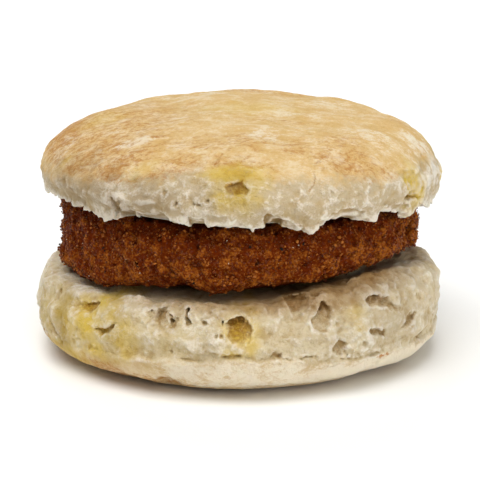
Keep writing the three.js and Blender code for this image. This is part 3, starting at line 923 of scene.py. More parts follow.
    def hang_rim(self, line, waves):
        """Ends the rim in a thin torn edge, along a line of angles and heights."""
        levels = np.arange(self.low - 1, self.low + 9, self.cell / 2)
        lowest = np.full(len(ALL_ANGLES), np.inf)
        for radius in (41.6, 42.2, 42.8, 43.4):
            inside = self.inside_at(radius, levels)
            lowest = np.minimum(lowest, np.where(inside, levels, np.inf).min(axis=1))
        shape = self.distance.shape
        top = int((self.low + 8) / self.cell - self.start[2])
        place = self.at(np.nonzero(np.ones((shape[0], shape[1], top), bool)))
        place = self.only(place, (place.radius > 35) & (place.radius < 49))
        lip = np.interp(place.angle, ALL_ANGLES, lowest, period=360)
        level = lip + FLAP_RISE
        outer = self.width_at(place.angle, np.maximum(place.z, level))
        outer -= FLAP_LEAN * np.maximum(level - place.z, 0)
        edge = along(line, place) + 0.34 * waves(place.levelled(), 1.1, 3)
        edge += 0.12 * waves(place.levelled(), 0.45)
        here = self.distance[place.index]
        flap = np.maximum(edge - place.z, place.radius - outer)
        flap = np.maximum(flap, outer - FLAP_THICKNESS - place.radius)
        flap = np.maximum(flap, place.z - level - FLAP_OVERLAP)
        roof = edge - FLAP_SLANT * (outer - place.radius)
        gone = np.maximum(place.z - np.minimum(roof, edge), outer - FLAP_CUT - place.radius)
        self.distance[place.index] = np.maximum(np.minimum(here, flap), -gone)
        self.keep_plain()

    def round_rim(self, line):
        """Rounds the upper edge by widths in millimetres, along a line of angles and widths."""
        levels = np.arange(self.high - 6, self.high + 3, self.cell / 2)
        tops = np.where(self.inside_at(41, levels), levels, self.high - 6).max(axis=1)
        tops = sum(np.roll(tops, shift) for shift in range(-3, 4)) / 7
        place = self.near(self.REACH, self.high - 8)
        top = place.z - np.interp(place.angle, ALL_ANGLES, tops, period=360)
        side = place.radius - self.width_at(place.angle, np.minimum(place.z, self.high - 5))
        corner = -soft_minimum(-side, -top, along(line, place))
        outer = place.radius > 37
        index = self.only(place, outer).index
        self.distance[index] = np.maximum(self.distance[index], corner[outer])
        self.keep_plain()

    def inside_at(self, radius, levels):
        """Whether the plain piece is solid at a radius, for each whole degree and each level."""
        turn = np.radians(ALL_ANGLES)
        x = np.repeat(radius * np.sin(turn), len(levels))
        y = np.repeat(-radius * np.cos(turn), len(levels))
        points = np.stack([x, y, np.tile(levels, len(turn))], axis=1)
        return self.sample_plain(points).reshape(len(turn), -1) < 0

    def slide_down(self, place, drop):
        """Moves what is at each point down by a drop in millimetres."""
        i, j, k = place.index
        source = np.clip(k + drop / self.cell, 0, self.distance.shape[2] - 1.001)
        low = np.floor(source).astype(int)
        share = (source - low).astype(np.float32)
        new = self.distance.copy()
        new[i, j, k] = self.distance[i, j, low] * (1 - share) + self.distance[i, j, low + 1] * share
        self.distance = new

    def sample_plain(self, points):
        """The plain skin's distance at points: positive where the surface now stands proud of it."""
        return self.sample(self.plain, points)

    def ridges(self, points, width):
        """How sharply the surface stands out at points, or is hollow there where that is negative."""
        soft = np.clip(self.distance, -width, width)
        half = max(1, round(width / self.cell / 2))
        for axis in (0, 1, 2):
            soft = average_along(soft, axis, half)
        return self.sample(soft, points) / width

    def sample(self, grid, points):
        """A grid's value at points in millimetres, from the eight grid points round each."""
        where = np.clip(points / self.cell - self.start, 0, np.array(grid.shape) - 1.001)
        low = np.floor(where).astype(int)
        share = where - low
        total = 0
        for i in (0, 1):
            for j in (0, 1):
                for k in (0, 1):
                    weight = (
                        (share[:, 0] if i else 1 - share[:, 0])
                        * (share[:, 1] if j else 1 - share[:, 1])
                        * (share[:, 2] if k else 1 - share[:, 2])
                    )
                    total = total + weight * grid[low[:, 0] + i, low[:, 1] + j, low[:, 2] + k]
        return total

    def skin(self):
        """The surface as points in millimetres and quads, without scraps that hang free."""
        limit = 3 * self.cell
        grid = vdb.FloatGrid(limit)
        grid.copyFromArray(np.clip(self.distance, -limit, limit), ijk=self.start.tolist())
        grid.transform = self.transform
        grid.gridClass = vdb.GridClass.LEVEL_SET
        points, quads = grid.convertToQuads()
        return largest_part(np.array(points), np.array(quads).astype(np.int64))


def read(items, name, width, kind=np.float32):
    """One property of every item of a Blender list, as rows."""
    values = np.empty(len(items) * width, kind)
    items.foreach_get(name, values)
    return values.reshape(-1, width)


def average_along(values, axis, half):
    """The mean over 2 * half + 1 neighbours along one axis."""
    count = 2 * half + 1
    edge = [(0, 0)] * 3
    edge[axis] = (half + 1, half)
    sums = np.cumsum(np.pad(values, edge, mode="edge"), axis=axis, dtype=np.float64)
    ahead = [slice(None)] * 3
    behind = [slice(None)] * 3
    ahead[axis] = slice(count, None)
    behind[axis] = slice(0, -count)
    return ((sums[tuple(ahead)] - sums[tuple(behind)]) / count).astype(np.float32)


def soft_minimum(a, b, soft):
    """The smaller of two distances, with a fillet where they are nearly equal."""
    overlap = np.maximum(soft - np.abs(a - b), 0)
    return np.minimum(a, b) - overlap * overlap / (4 * soft)


def side_axes(angle):
    """Axes across, up and out of an upright side at an angle."""
    turn = math.radians(angle)
    out = np.array([math.sin(turn), -math.cos(turn), 0.0])
    return np.array([-out[1], out[0], 0.0]), np.array([0.0, 0.0, 1.0]), out


def spun_axes(out, spin):
    """Axes across, along and out of a surface, turned about the way out."""
    helper = np.array([0.0, 0.0, 1.0]) if abs(out[2]) < 0.8 else np.array([1.0, 0.0, 0.0])
    across = np.cross(helper, out)
    across /= np.linalg.norm(across)
    along = np.cross(out, across)
    cosine, sine = math.cos(spin), math.sin(spin)
    return cosine * across + sine * along, cosine * along - sine * across, out


def largest_part(points, quads):
    """Keeps only the largest connected part of a surface."""
    label = np.arange(len(points))
    while True:
        lowest = label[quads].min(axis=1)
        new = label.copy()
        np.minimum.at(new, quads.ravel(), np.repeat(lowest, quads.shape[1]))
        new = new[new]
        if np.array_equal(new, label):
            break
        label = new
    main = np.bincount(label).argmax()
    kept = label == main
    number = np.cumsum(kept) - 1
    return points[kept], number[quads[kept[quads[:, 0]]]]


def on_side(place, patches, edge, sharp=0.45):
    """How strongly marks cover each point of a side, from 0 to 1. Edge makes their outlines uneven."""
    cover = np.zeros(len(place.x), np.float32)
    for patch in patches:
        across = np.radians(turned(place.angle, patch.angle)) * SIDE_RADIUS
        far = np.hypot(across / (patch.width / 2), (place.z - patch.height) / (patch.tall / 2))
        cover = np.maximum(cover, patch.strength * (1 - smooth(far + edge, sharp, 1.3)))
    return cover


def on_crown(place, spots, edge, sharp=0.3):
    """The same for marks on the crown."""
    cover = np.zeros(len(place.x), np.float32)
    for spot in spots:
        far = np.hypot((place.x - spot.x) / (spot.width / 2), (place.y - spot.y) / (spot.depth / 2))
        cover = np.maximum(cover, spot.strength * (1 - smooth(far + edge, sharp, 1.3)))
    return cover


def make_piece(name, points, faces, finish, triangles=None):
    """A mesh object in metres. Above a number of triangles, the flattest places get fewer."""
    faces = np.asarray(faces, np.int32)
    mesh = bpy.data.meshes.new(name)
    mesh.vertices.add(len(points))
    mesh.vertices.foreach_set("co", (np.asarray(points, np.float32) * MM).ravel())
    mesh.loops.add(faces.size)
    mesh.loops.foreach_set("vertex_index", faces.ravel())
    mesh.polygons.add(len(faces))
    mesh.polygons.foreach_set("loop_start", np.arange(0, faces.size, faces.shape[1], dtype=np.int32))
    mesh.update(calc_edges=True)
    mesh.materials.append(finish)
    piece = bpy.data.objects.new(name, mesh)
    bpy.context.scene.collection.objects.link(piece)
    whole = len(faces) * (faces.shape[1] - 2)
    if triangles and whole > triangles:
        thin = piece.modifiers.new("Fewer faces", "DECIMATE")
        thin.ratio = triangles / whole
        graph = bpy.context.evaluated_depsgraph_get()
        fewer = bpy.data.meshes.new_from_object(piece.evaluated_get(graph))
        piece.modifiers.clear()
        piece.data = fewer
        bpy.data.meshes.remove(mesh)
        fewer.name = name
    piece.data.polygons.foreach_set("use_smooth", np.ones(len(piece.data.polygons), bool))
    return piece


def corners_of(piece):
    """The points of a piece in millimetres."""
    return read(piece.data.vertices, "co", 3).astype(np.float64) / MM


def paint(piece, **masks):
    """Stores how strongly each mask covers each point, for the finish to read."""
    for name, values in masks.items():
        layer = piece.data.attributes.new(name, "FLOAT", "POINT")
        layer.data.foreach_set("value", np.asarray(values, np.float32))


class Finish:
    """A material as it is put together from nodes."""

    def __init__(self, name):
        self.material = bpy.data.materials.new(name)
        self.material.use_nodes = True
        self.tree = self.material.node_tree
        self.tree.nodes.clear()
        self.surface = self.add("ShaderNodeBsdfPrincipled")
        output = self.add("ShaderNodeOutputMaterial")
        self.join(self.surface.outputs["BSDF"], output.inputs["Surface"])
        self.place = self.add("ShaderNodeTexCoord").outputs["Object"]

    def add(self, kind, **settings):
        """A new node with its settings."""
        node = self.tree.nodes.new(kind)
        for name, value in settings.items():
            setattr(node, name, value)
        return node

    def join(self, start, end):
        """Links one socket to another."""
        self.tree.links.new(start, end)

    def give(self, socket, value):
        """Sets a socket to a number, a direction or a colour, or links another socket to it."""
        if isinstance(value, bpy.types.NodeSocket):
            self.join(value, socket)
        elif isinstance(value, (int, float)) or socket.type == "VECTOR":
            socket.default_value = value
        else:
            socket.default_value = (*value[:3], 1.0)

    def wear(self, values):
        """Gives the shader's own sockets their values, by name."""
        for name, value in values.items():
            self.give(self.surface.inputs[name], value)

    def mask(self, name):
        """How strongly the mask of this name covers each point."""
        return self.add("ShaderNodeAttribute", attribute_name=name).outputs["Fac"]

    def noise(self, size, detail=3.0, stretch=(1, 1, 1), rough=0.55, warp=0.0):
        """Random grey of a size in metres, wider along an axis where stretch is above 1."""
        mapping = self.add("ShaderNodeMapping")
        self.join(self.place, mapping.inputs["Vector"])
        mapping.inputs["Scale"].default_value = [1 / value for value in stretch]
        noise = self.add("ShaderNodeTexNoise")
        self.join(mapping.outputs["Vector"], noise.inputs["Vector"])
        noise.inputs["Scale"].default_value = 1 / size
        noise.inputs["Detail"].default_value = detail
        noise.inputs["Roughness"].default_value = rough
        noise.inputs["Distortion"].default_value = warp
        return noise.outputs["Fac"]

    def span(self, value, low, high, start=0.0, end=1.0):
        """Stretches the range from low to high over start to end."""
        node = self.add("ShaderNodeMapRange", interpolation_type="SMOOTHSTEP")
        self.join(value, node.inputs["Value"])
        node.inputs["From Min"].default_value = low
        node.inputs["From Max"].default_value = high
        node.inputs["To Min"].default_value = start
        node.inputs["To Max"].default_value = end
        return node.outputs["Result"]

    def either_way(self, grey, amount, low=0.3):
        """Random grey turned into unevenness from minus an amount to plus it."""
        return self.span(grey, low, 1 - low, -amount, amount)

    def reckon(self, kind, a, b):
        """Two values joined by a kind of arithmetic."""
        node = self.add("ShaderNodeMath", operation=kind)
        self.give(node.inputs[0], a)
        self.give(node.inputs[1], b)
        return node.outputs[0]

    def plus(self, first, *others):
        """The sum of two or more values."""
        for other in others:
            first = self.reckon("ADD", first, other)
        return first

    def times(self, a, b):
        """The product of two values."""
        return self.reckon("MULTIPLY", a, b)

    def mix(self, share, a, b, kind="MIX"):
        """One colour laid over another with a share from 0 to 1."""
        node = self.add("ShaderNodeMix", data_type="RGBA", blend_type=kind)
        self.give(node.inputs[0], share)
        self.give(node.inputs[6], a)
        self.give(node.inputs[7], b)
        return node.outputs[2]

    def bump(self, height, distance, below=None):
        """Fine relief for the shader, over coarser relief below it."""
        node = self.add("ShaderNodeBump")
        node.inputs["Distance"].default_value = distance
        self.join(height, node.inputs["Height"])
        if below is not None:
            self.join(below, node.inputs["Normal"])
        return node.outputs["Normal"]


def colour_property(name, seen, description):
    """A colour as a setting, from its red, green and blue as seen."""
    return FloatVectorProperty(
        name=name, description=description, default=daylight(*seen), subtype="COLOR", min=0, max=1
    )


class BiscuitLook(PropertyGroup):
    """Sizes and colours of both halves of the biscuit."""

    cell: FloatProperty(
        name="Grid step", description="Distance between the points that the dough is shaped on",
        default=0.26 * MM, min=0.2 * MM, max=1 * MM, precision=5, unit="LENGTH",
    )
    triangles: IntProperty(
        name="Triangles", description="Most triangles in each half",
        default=190000, min=10000, max=199000,
    )
    dents: IntProperty(
        name="Dents", description="Shallow hollows in each torn side", default=160, min=0, max=6000
    )
    pores: IntProperty(
        name="Pores", description="Tiny gas holes in each torn side", default=140, min=0, max=6000
    )
    crumb: colour_property("Crumb", (216, 200, 166), "Torn dough in the light, in the lower half")
    # Painted shade: the lower half's crumb darker for the upper half, whose side faces down into shade
    shaded_upper_crumb: colour_property("Upper crumb", (198, 179, 146), "The same, in the upper half")
    # Crumb shade: denser dough at random, and painted shade in hollows
    crumb_shade: colour_property("Crumb shade", (188, 163, 119), "Denser, damper dough in hollows")
    # Ridges: pale dry dough on torn edges, also laid on as painted highlight on ridges and as painted
    # light
    ridge: colour_property("Ridges", (239, 231, 216), "Dry edges of torn dough")
    # Deep hollows: painted shade deep in pockets and in recesses
    hollow: colour_property("Deep hollows", (160, 128, 76), "Dough deep in a pocket")
    skin: colour_property("Pale crust", (226, 199, 151), "Crust that hardly browned")
    gold: colour_property("Golden crust", (210, 170, 104), "Crust that turned golden")
    brown: colour_property("Browned crust", (186, 132, 70), "Crust in its brownest places")
    flour: colour_property("Flour", (236, 223, 198), "Flour left on the crust")
    butter: colour_property("Butter", (216, 184, 74), "Dough yellow with melted butter")
    # Dulling is painted shade: what dough is multiplied by where the sides lie in shade
    dull: colour_property("Dulling", (217, 212, 206), "What dull dough is multiplied by")
    # Frying fat is painted shadow: what the cut face is multiplied by where the patty and upper half
    # shade it
    stain: colour_property("Frying fat", (206, 182, 150), "What the cut face is multiplied by")
    # Deep butter: buttered dough darker at random and as painted shade in hollows and pockets
    shaded_butter: colour_property("Deep butter", (152, 108, 26), "The same, deep in a pocket")


class PattyLook(PropertyGroup):
    """Sizes and colours of the breaded patty."""

    cell: FloatProperty(
        name="Grid step", description="Distance between the points that the coating is shaped on",
        default=0.3 * MM, min=0.2 * MM, max=1 * MM, precision=5, unit="LENGTH",
    )
    triangles: IntProperty(
        name="Triangles", description="Most triangles in the coating",
        default=190000, min=10000, max=199000,
    )
    crags: IntProperty(
        name="Crags", description="Lumps of batter on the patty", default=3200, min=0, max=20000
    )
    crumbs: IntProperty(
        name="Crumbs", description="Separate crumbs fried to the coating", default=5600, min=0, max=9000
    )
    grains: IntProperty(
        name="Fine grains", description="Finest grains of breading", default=7000, min=0, max=9000
    )
    deep: colour_property("Deep coating", (60, 18, 2), "Coating in its clefts")
    coat: colour_property("Coating", (100, 35, 3), "Most of the coating")
    golden: colour_property("Golden crumb", (180, 106, 36), "Crumbs that stand out and stayed golden")
    pepper: colour_property("Pepper", (22, 14, 10), "Flecks of black pepper")
    salt: colour_property("Salt", (235, 222, 205), "Grains of salt")


class StageLook(PropertyGroup):
    """The camera, the light and the floor."""

    elevation: FloatProperty(
        name="Elevation", description="How far the camera looks down",
        default=math.radians(15), subtype="ANGLE",
    )
    distance: FloatProperty(
        name="Distance", description="From the camera to the middle of the sandwich",
        default=0.45, unit="LENGTH",
    )
    target: FloatProperty(
        name="Target height", description="Height that the camera looks at",
        default=23.8 * MM, unit="LENGTH",
    )
    view_width: FloatProperty(
        name="View width", description="Width of the picture at the sandwich",
        default=110.1 * MM, unit="LENGTH",
    )
    key: FloatProperty(
        name="Key light", description="Strength of the soft light from the upper left", default=2.4
    )
    softness: FloatProperty(
        name="Softness", description="How wide the key light looks",
        default=math.radians(50), subtype="ANGLE",
    )
    front: FloatProperty(
        name="Front light", description="Power of the soft light beside the camera",
        default=2.9, unit="POWER",
    )
    fill: FloatProperty(
        name="Fill light", description="Power of the light from the right", default=7.6, unit="POWER"
    )
    back: FloatProperty(
        name="Back light", description="Power of the light from behind", default=6.0, unit="POWER"
    )
    sky: FloatProperty(name="Sky", description="Strength of the light from all round", default=0.22)
    floor: colour_property("Floor", (248, 248, 246), "The plain pale floor")


def picks(block, keep, count, rng):
    """Random points of the surface where keep says so, with the way out at each."""
    place, out = block.surface()
    chosen = np.nonzero(rng.random(len(place.x)) < keep(place))[0]
    chosen = rng.choice(chosen, size=min(count, len(chosen)), replace=False)
    points = np.stack([place.x[chosen], place.y[chosen], place.z[chosen]], axis=1)
    return points, out[chosen]


def dent_crumb(block, keep, look, rng):
    """Scoops shallow dents with sharp rims out of torn dough, then tiny pores."""
    for point, out in zip(*picks(block, keep, look.dents, rng)):
        radius = rng.uniform(0.4, 1.6)
        depth = rng.uniform(0.04, 0.16)
        axes = spun_axes(out, rng.uniform(0, math.tau))
        radii = (radius, radius * rng.uniform(0.4, 1), radius * 0.8)
        block.stamp(point + out * (radii[2] - depth), axes, radii, False, 0.1)
    for point, out in zip(*picks(block, keep, look.pores, rng)):
        radius = rng.uniform(0.16, 0.32)
        axes = spun_axes(out, rng.uniform(0, math.tau))
        block.stamp(point, axes, (radius, radius * rng.uniform(0.6, 1), radius * 1.1), False, 0.1)


def lower_crust_line(place, waves):
    """How high the lower half's crust reaches at each point's angle."""
    return np.interp(place.angle, *zip(*LOWER_CRUST_LINE)) + 0.5 * waves(place, 3, 2)


def upper_crust_line(place, waves):
    """How low the upper half's crust reaches at each point's angle."""
    return np.interp(place.angle, *zip(*UPPER_CRUST_LINE)) + 0.7 * waves(place, 3, 2)


def torn_relief(place, waves):
    """The unevenness of torn dough: soft lumps, sharp ridges between them and a fine grain."""
    lumps = 0.55 * waves(place, 5.5, 2)
    torn = 0.32 * (0.3 - np.abs(waves(place, 3.2, 3)))
    return lumps + torn + 0.12 * waves(place, 0.9, 3) + 0.07 * np.abs(waves(place.moved(5), 0.6, 2))


def shape_lower_half(look, rng):
    """The lower half: its foot, rim, torn side and pockets."""
    block = Block("biscuit_bottom", look.cell / MM)
    block.fill_sides(3, 19)
    waves = Waves(LOWER_WAVES)
    place = block.near(block.REACH, -3, 9)
    block.lift(FOOT_EDGE, smooth(place.radius, 37, 41) * (1 - smooth(place.z, 3, 8)), place, waves)
    place = block.near(block.REACH, 10)
    block.lift(RAISED, smooth(place.radius, 29, 37) * smooth(place.z, 11, 18), place, waves)
    place = block.near(block.REACH, 15)
    dip = smooth(place.radius, 34, 38) * (1 - smooth(place.radius, 41, 44.5)) * smooth(place.z, 17, 20)
    block.lift(FRONT_DIP, dip, place, waves)
    place = block.near(block.REACH)
    block.swell(place, -on_side(place, SLIMMER, 0, 0))
    block.round_rim(SHOULDER)
    place = block.near(1.4)
    over = place.z - lower_crust_line(place, waves)
    side = smooth(place.radius, 34, 38)
    torn = smooth(over, -0.2, 0.3)
    relief = torn * (0.35 + 0.65 * side) * torn_relief(place, waves)
    relief += torn * on_side(place, all_round(CRUMBLY), 0) * 0.34 * waves(place, 0.9, 2)
    relief += (1 - torn) * (0.13 * waves(place, 5, 2) + 0.04 * waves(place, 1.2, 2))
    outside = smooth(place.radius, 38, 42)
    crack = 1 - smooth(np.abs(over + 0.1), 0.1, 0.45)
    relief += 0.3 * outside * smooth(over, -2.4, -0.5) * (1 - torn)
    relief -= 0.4 * outside * crack * smooth(waves(place, 5, 2), -0.1, 0.7)
    block.swell(place, relief * smooth(place.z, 0.4, 2.5))
    block.carve(all_round(POCKETS), waves)

    def torn_side(place):
        over = place.z - lower_crust_line(place, waves)
        return smooth(over, 0.3, 1.5) * (0.04 + 0.96 * smooth(place.radius, 35, 39))

    dent_crumb(block, torn_side, look, rng)
    return block


def shape_upper_half(look, rng):
    """The upper half: its torn rim, ledges, crown, pockets and cracks."""
    block = Block("biscuit_top", look.cell / MM)
    block.fill_sides(41, 49)
    waves = Waves(UPPER_WAVES)
    block.hang_rim(TORN_EDGE, waves)
    block.cut_back(LEDGES, waves)
    place = block.near(1.4)
    crust = smooth(place.z - upper_crust_line(place, waves), -2, 1)
    side = smooth(place.radius, 38, 41)
    torn = 0.9 * torn_relief(place, waves) + 0.22 * waves(place.moved(9), 2.2, 2)
    relief = (1 - crust) * side * torn
    wrinkled = place.stretched(0.6, 1, 1)
    relief += crust * (0.22 * waves(wrinkled, 7, 2) + 0.09 * waves(wrinkled, 1.7, 2))
    relief -= smooth(place.z, 46, 50) * on_crown(place, DIPS, 0, 0)
    edge = 0.25 * waves(place, 1.6, 2)
    relief += side * (on_side(place, BULGES, edge, 0.7) - on_side(place, NARROWED, 0, 0))
    block.swell(place, relief * np.maximum(side, smooth(place.z, block.low, block.low + 3)))
    block.carve(all_round(TOP_POCKETS), waves)
    for crack in CRACKS:
        cut_crack(block, crack, rng)

    def torn_side(place):
        over = place.z - upper_crust_line(place, waves)
        return (1 - smooth(over, -3.5, -0.5)) * (0.04 + 0.96 * smooth(place.radius, 36, 40))

    dent_crumb(block, torn_side, look, rng)
    return block


def cut_crack(block, crack, rng):
    """Cuts a hairline crack along a line of angles and heights."""
    steps = 6
    for (angle, height), (next_angle, next_height) in zip(crack, crack[1:]):
        for step in range(steps):
            share = step / steps
            here = angle + share * (next_angle - angle) + rng.uniform(-0.15, 0.15)
            level = height + share * (next_height - height)
            centre = side_axes(here)[2] * block.width_at(here, level)
            centre[2] = level
            out = centre * (0.7, 0.7, 0) + (0, 0, 30)
            axes = spun_axes(out / np.linalg.norm(out), rng.uniform(0, math.tau))
            block.stamp(centre, axes, (0.28, 0.17, 0.4), False, 0.1)


def shape_patty(look, rng):
    """The patty: its uneven side, clumps, crags and clefts."""
    block = Block("chicken_patty", look.cell / MM)
    waves = Waves(PATTY_WAVES)
    place = block.near(1.4)
    side = smooth(place.radius, 31, 37)
    relief = 0.45 * waves(place, 5, 2) + 0.32 * waves(place, 2, 2)
    block.swell(place, (0.25 + 0.75 * side) * relief - 0.3)
    place = block.near(block.REACH)
    side = smooth(place.radius, 31, 37)
    block.swell(place, side * (on_side(place, FULLER, 0, 0) - on_side(place, LEANER, 0, 0)))
    place = block.near(block.REACH)
    block.lift(PATTY_FOOT, smooth(place.radius, 27, 35) * (1 - smooth(place.z, 25, 33)), place, waves)

    def coated(place):
        return 0.12 + 0.88 * smooth(place.radius, 32, 38)

    for angle, height, radius, rise in CLUMPS:
        axes = side_axes(angle)
        centre = axes[2] * (block.width_at(angle, height) - radius + rise)
        centre[2] = height
        radii = (radius * 1.15, radius, radius)
        block.stamp(centre, axes, radii, True, 0.5, waves, 0.35)
    for point, out in zip(*picks(block, coated, look.crags, rng)):
        side = smooth(math.hypot(point[0], point[1]), 32, 38)
        radius = 0.4 + 1.5 * rng.random() ** 2
        rise = (0.3 + 0.7 * side) * rng.uniform(0.15, 0.6) * min(1, radius)
        axes = spun_axes(out, rng.uniform(0, math.tau))
        radii = (radius, radius * rng.uniform(0.6, 1), radius * rng.uniform(0.6, 0.9))
        block.stamp(point + out * (rise - radii[2]), axes, radii, True, 0.12)
    for point, out in zip(*picks(block, coated, look.crags // 4, rng)):
        radius = rng.uniform(0.35, 0.9)
        axes = spun_axes(out, rng.uniform(0, math.tau))
        block.stamp(point, axes, (radius, radius * 0.7, radius * 0.6), False, 0.12)
    return block


def biscuit_finish(name, look, dough):
    """Baked dough: torn crumb and crust, with butter, browning and flour where their masks say so."""
    finish = Finish(name)
    fine = finish.noise(0.45 * MM, 3)
    middle = finish.noise(2.0 * MM, 4, warp=0.4)
    broad = finish.noise(6 * MM, 3)
    grains = finish.noise(0.8 * MM, 4, (1.5, 1, 1), rough=0.75, warp=0.5)
    speckle = finish.noise(0.6 * MM, 4, (1.3, 1, 1), rough=0.8, warp=0.4)
    wrinkle = finish.noise(1.6 * MM, 4, (1.7, 1, 1), rough=0.65, warp=0.6)
    ridge = finish.mask("ridge")
    toast = finish.mask("toast")

    # Torn crumb: denser at random, with painted shade in its hollows and deep in pockets; pale on its
    # ridges as dry dough and painted highlight, and where painted light is added
    deep = finish.plus(finish.mask("deep"), finish.either_way(fine, 0.15))
    dense_and_shaded = finish.plus(
        finish.either_way(middle, 0.5), finish.span(ridge, 0.0, 0.45, 0.6, 0),
        finish.either_way(fine, 0.2), finish.either_way(broad, 0.3, 0.35),
    )
    pale = finish.plus(
        ridge, finish.either_way(fine, 0.16), finish.either_way(middle, 0.1),
        finish.either_way(broad, -0.12, 0.35),
    )
    crumb = finish.mix(finish.span(dense_and_shaded, -0.4, 1.0), dough, look.crumb_shade)
    crumb = finish.mix(finish.span(pale, 0.4, 1.1, 0, 0.85), crumb, look.ridge)
    crumb = finish.mix(finish.span(deep, 0.1, 1.0, 0, 0.9), crumb, look.hollow)

    # Crust: pale to golden
    golden = finish.plus(
        finish.times(speckle, 0.35), finish.times(wrinkle, 0.3), finish.times(broad, 0.35)
    )
    crust = finish.mix(finish.span(golden, 0.38, 0.62), look.skin, look.gold)
    colour = finish.mix(finish.mask("crust"), crumb, crust)

    # Browning and flour
    browned = finish.plus(toast, finish.either_way(grains, 0.6), finish.either_way(wrinkle, 0.25))
    browned = finish.times(finish.span(browned, 0.1, 1.5), finish.span(toast, 0.02, 0.4))
    colour = finish.mix(browned, colour, look.brown)
    flour = finish.plus(
        finish.mask("flour"), finish.span(grains, 0.5, 0.8, 0, 0.4),
        finish.span(golden, 0.42, 0.6, 0, -0.8),
    )
    colour = finish.mix(finish.span(flour, 0, 1), colour, look.flour)

    # Butter, darker as painted shade in hollows and pockets; then painted shade where the sides lie in
    # shade, and the painted shadow of the patty and upper half on the cut face
    buttered = finish.times(finish.mask("butter"), finish.span(middle, 0.3, 0.6, 0.85, 1.0))
    buttery = finish.mix(finish.span(dense_and_shaded, 0.1, 1.1, 0, 0.4), look.butter, look.shaded_butter)
    buttery = finish.mix(finish.span(pale, 0.5, 1.2, 0, 0.45), buttery, look.ridge)
    buttery = finish.mix(finish.span(deep, 0.1, 1.0), buttery, look.shaded_butter)
    colour = finish.mix(buttered, colour, buttery)
    colour = finish.mix(finish.mask("dull"), colour, look.dull, "MULTIPLY")
    stained = finish.times(finish.mask("stain"), 0.8)
    colour = finish.mix(stained, colour, look.stain, "MULTIPLY")

    rough = finish.bump(finish.noise(1.0 * MM, 4, rough=0.7), 0.5 * MM)
    finish.wear({
        "Base Color": colour,
        "Roughness": 0.75,
        "Specular IOR Level": 0.2,
        "Subsurface Weight": 0.3,
        "Subsurface Radius": (1.0, 0.7, 0.4),
        "Subsurface Scale": 1.0 * MM,
        "Normal": finish.bump(fine, 0.3 * MM, rough),
    })
    return finish.material


def breading_finish(look):
    """Fried batter: dark in its clefts, red-brown on most of it and golden where it stands proud."""
    finish = Finish("fried_breading")
    fine = finish.noise(0.5 * MM, 4, rough=0.65)
    middle = finish.noise(4 * MM, 3)
    proud = finish.plus(
        finish.mask("proud"), finish.either_way(fine, 0.4, 0.25), finish.either_way(middle, 0.2)
    )
    colour = finish.mix(finish.span(proud, -0.2, 0.5), look.deep, look.coat)
    finish.wear({
        "Base Color": finish.mix(finish.span(proud, 0.6, 1.4, 0, 0.8), colour, look.golden),
        "Roughness": 0.45,
        "Specular IOR Level": finish.span(finish.noise(0.7 * MM), 0.55, 0.7, 0.02, 0.3),
        "Subsurface Weight": 0.1,
        "Subsurface Radius": (1.0, 0.35, 0.1),
        "Subsurface Scale": 1.0 * MM,
        "Normal": finish.bump(finish.noise(0.4 * MM, 4, rough=0.7), 0.3 * MM),
    })
    return finish.material


def grain_finish(name, dark, light, roughness, gloss):
    """Small hard grains, each with its own shade between two colours."""
    finish = Finish(name)
    shade = finish.plus(finish.mask("shade"), finish.either_way(finish.noise(0.4 * MM), 0.2))
    finish.wear({
        "Base Color": finish.mix(finish.span(shade, 0.0, 1.1), dark, light),
        "Roughness": roughness,
        "Specular IOR Level": gloss,
        "Normal": finish.bump(finish.noise(0.3 * MM), 0.15 * MM),
    })
    return finish.material


def icosahedron():
    """The 12 corners and 20 faces of the roundest small solid."""
    golden = (1 + 5**0.5) / 2
    corners = [(a, b * golden, 0) for a in (-1, 1) for b in (-1, 1)]
    corners += [(0, a, b * golden) for a in (-1, 1) for b in (-1, 1)]
    corners += [(b * golden, 0, a) for a in (-1, 1) for b in (-1, 1)]
    corners = np.array(corners) / math.hypot(1, golden)
    edge = 2 / math.hypot(1, golden) * 1.01
    near = np.linalg.norm(corners[:, None] - corners[None], axis=2) < edge
    faces = []
    for a in range(12):
        for b in range(a + 1, 12):
            for c in range(b + 1, 12):
                if near[a, b] and near[b, c] and near[a, c]:
                    normal = np.cross(corners[b] - corners[a], corners[c] - corners[a])
                    faces.append((a, b, c) if normal @ corners[a] > 0 else (a, c, b))
    return corners, np.array(faces)


def scatter(name, points, outs, sizes, finish, rng):
    """One piece of many small angular grains, each half pressed into the surface at its point."""
    corners, faces = icosahedron()
    count = len(points)
    shapes = corners[None] * rng.uniform(0.62, 1.25, (count, 12, 1))
    lengths, widths = rng.uniform(0.8, 1.3, count), rng.uniform(0.6, 1, count)
    stretch = np.stack([lengths, widths, np.full(count, GRAIN_HEIGHT)], axis=1)
    shapes = shapes * stretch[:, None, :] * sizes[:, None, None]
    spins = rng.uniform(0, math.tau, count)
    frames = np.stack([np.stack(spun_axes(out, spin)) for out, spin in zip(outs, spins)])
    shapes = np.einsum("nci,nij->ncj", shapes, frames)
    shapes += (points + outs * (sizes * (GRAIN_HEIGHT - GRAIN_SINK))[:, None])[:, None, :]
    every = faces[None] + 12 * np.arange(count)[:, None, None]
    piece = make_piece(name, shapes.reshape(-1, 3), every.reshape(-1, 3), finish)
    paint(piece, shade=np.repeat(rng.random(count) ** 1.6, 12))
    return piece


def hold(piece, slot, *nodes):
    """Ties a finished piece to the sandwich, in place of the solids that it stands for, if any."""
    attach(piece, "root")
    if nodes:
        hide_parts(*nodes)


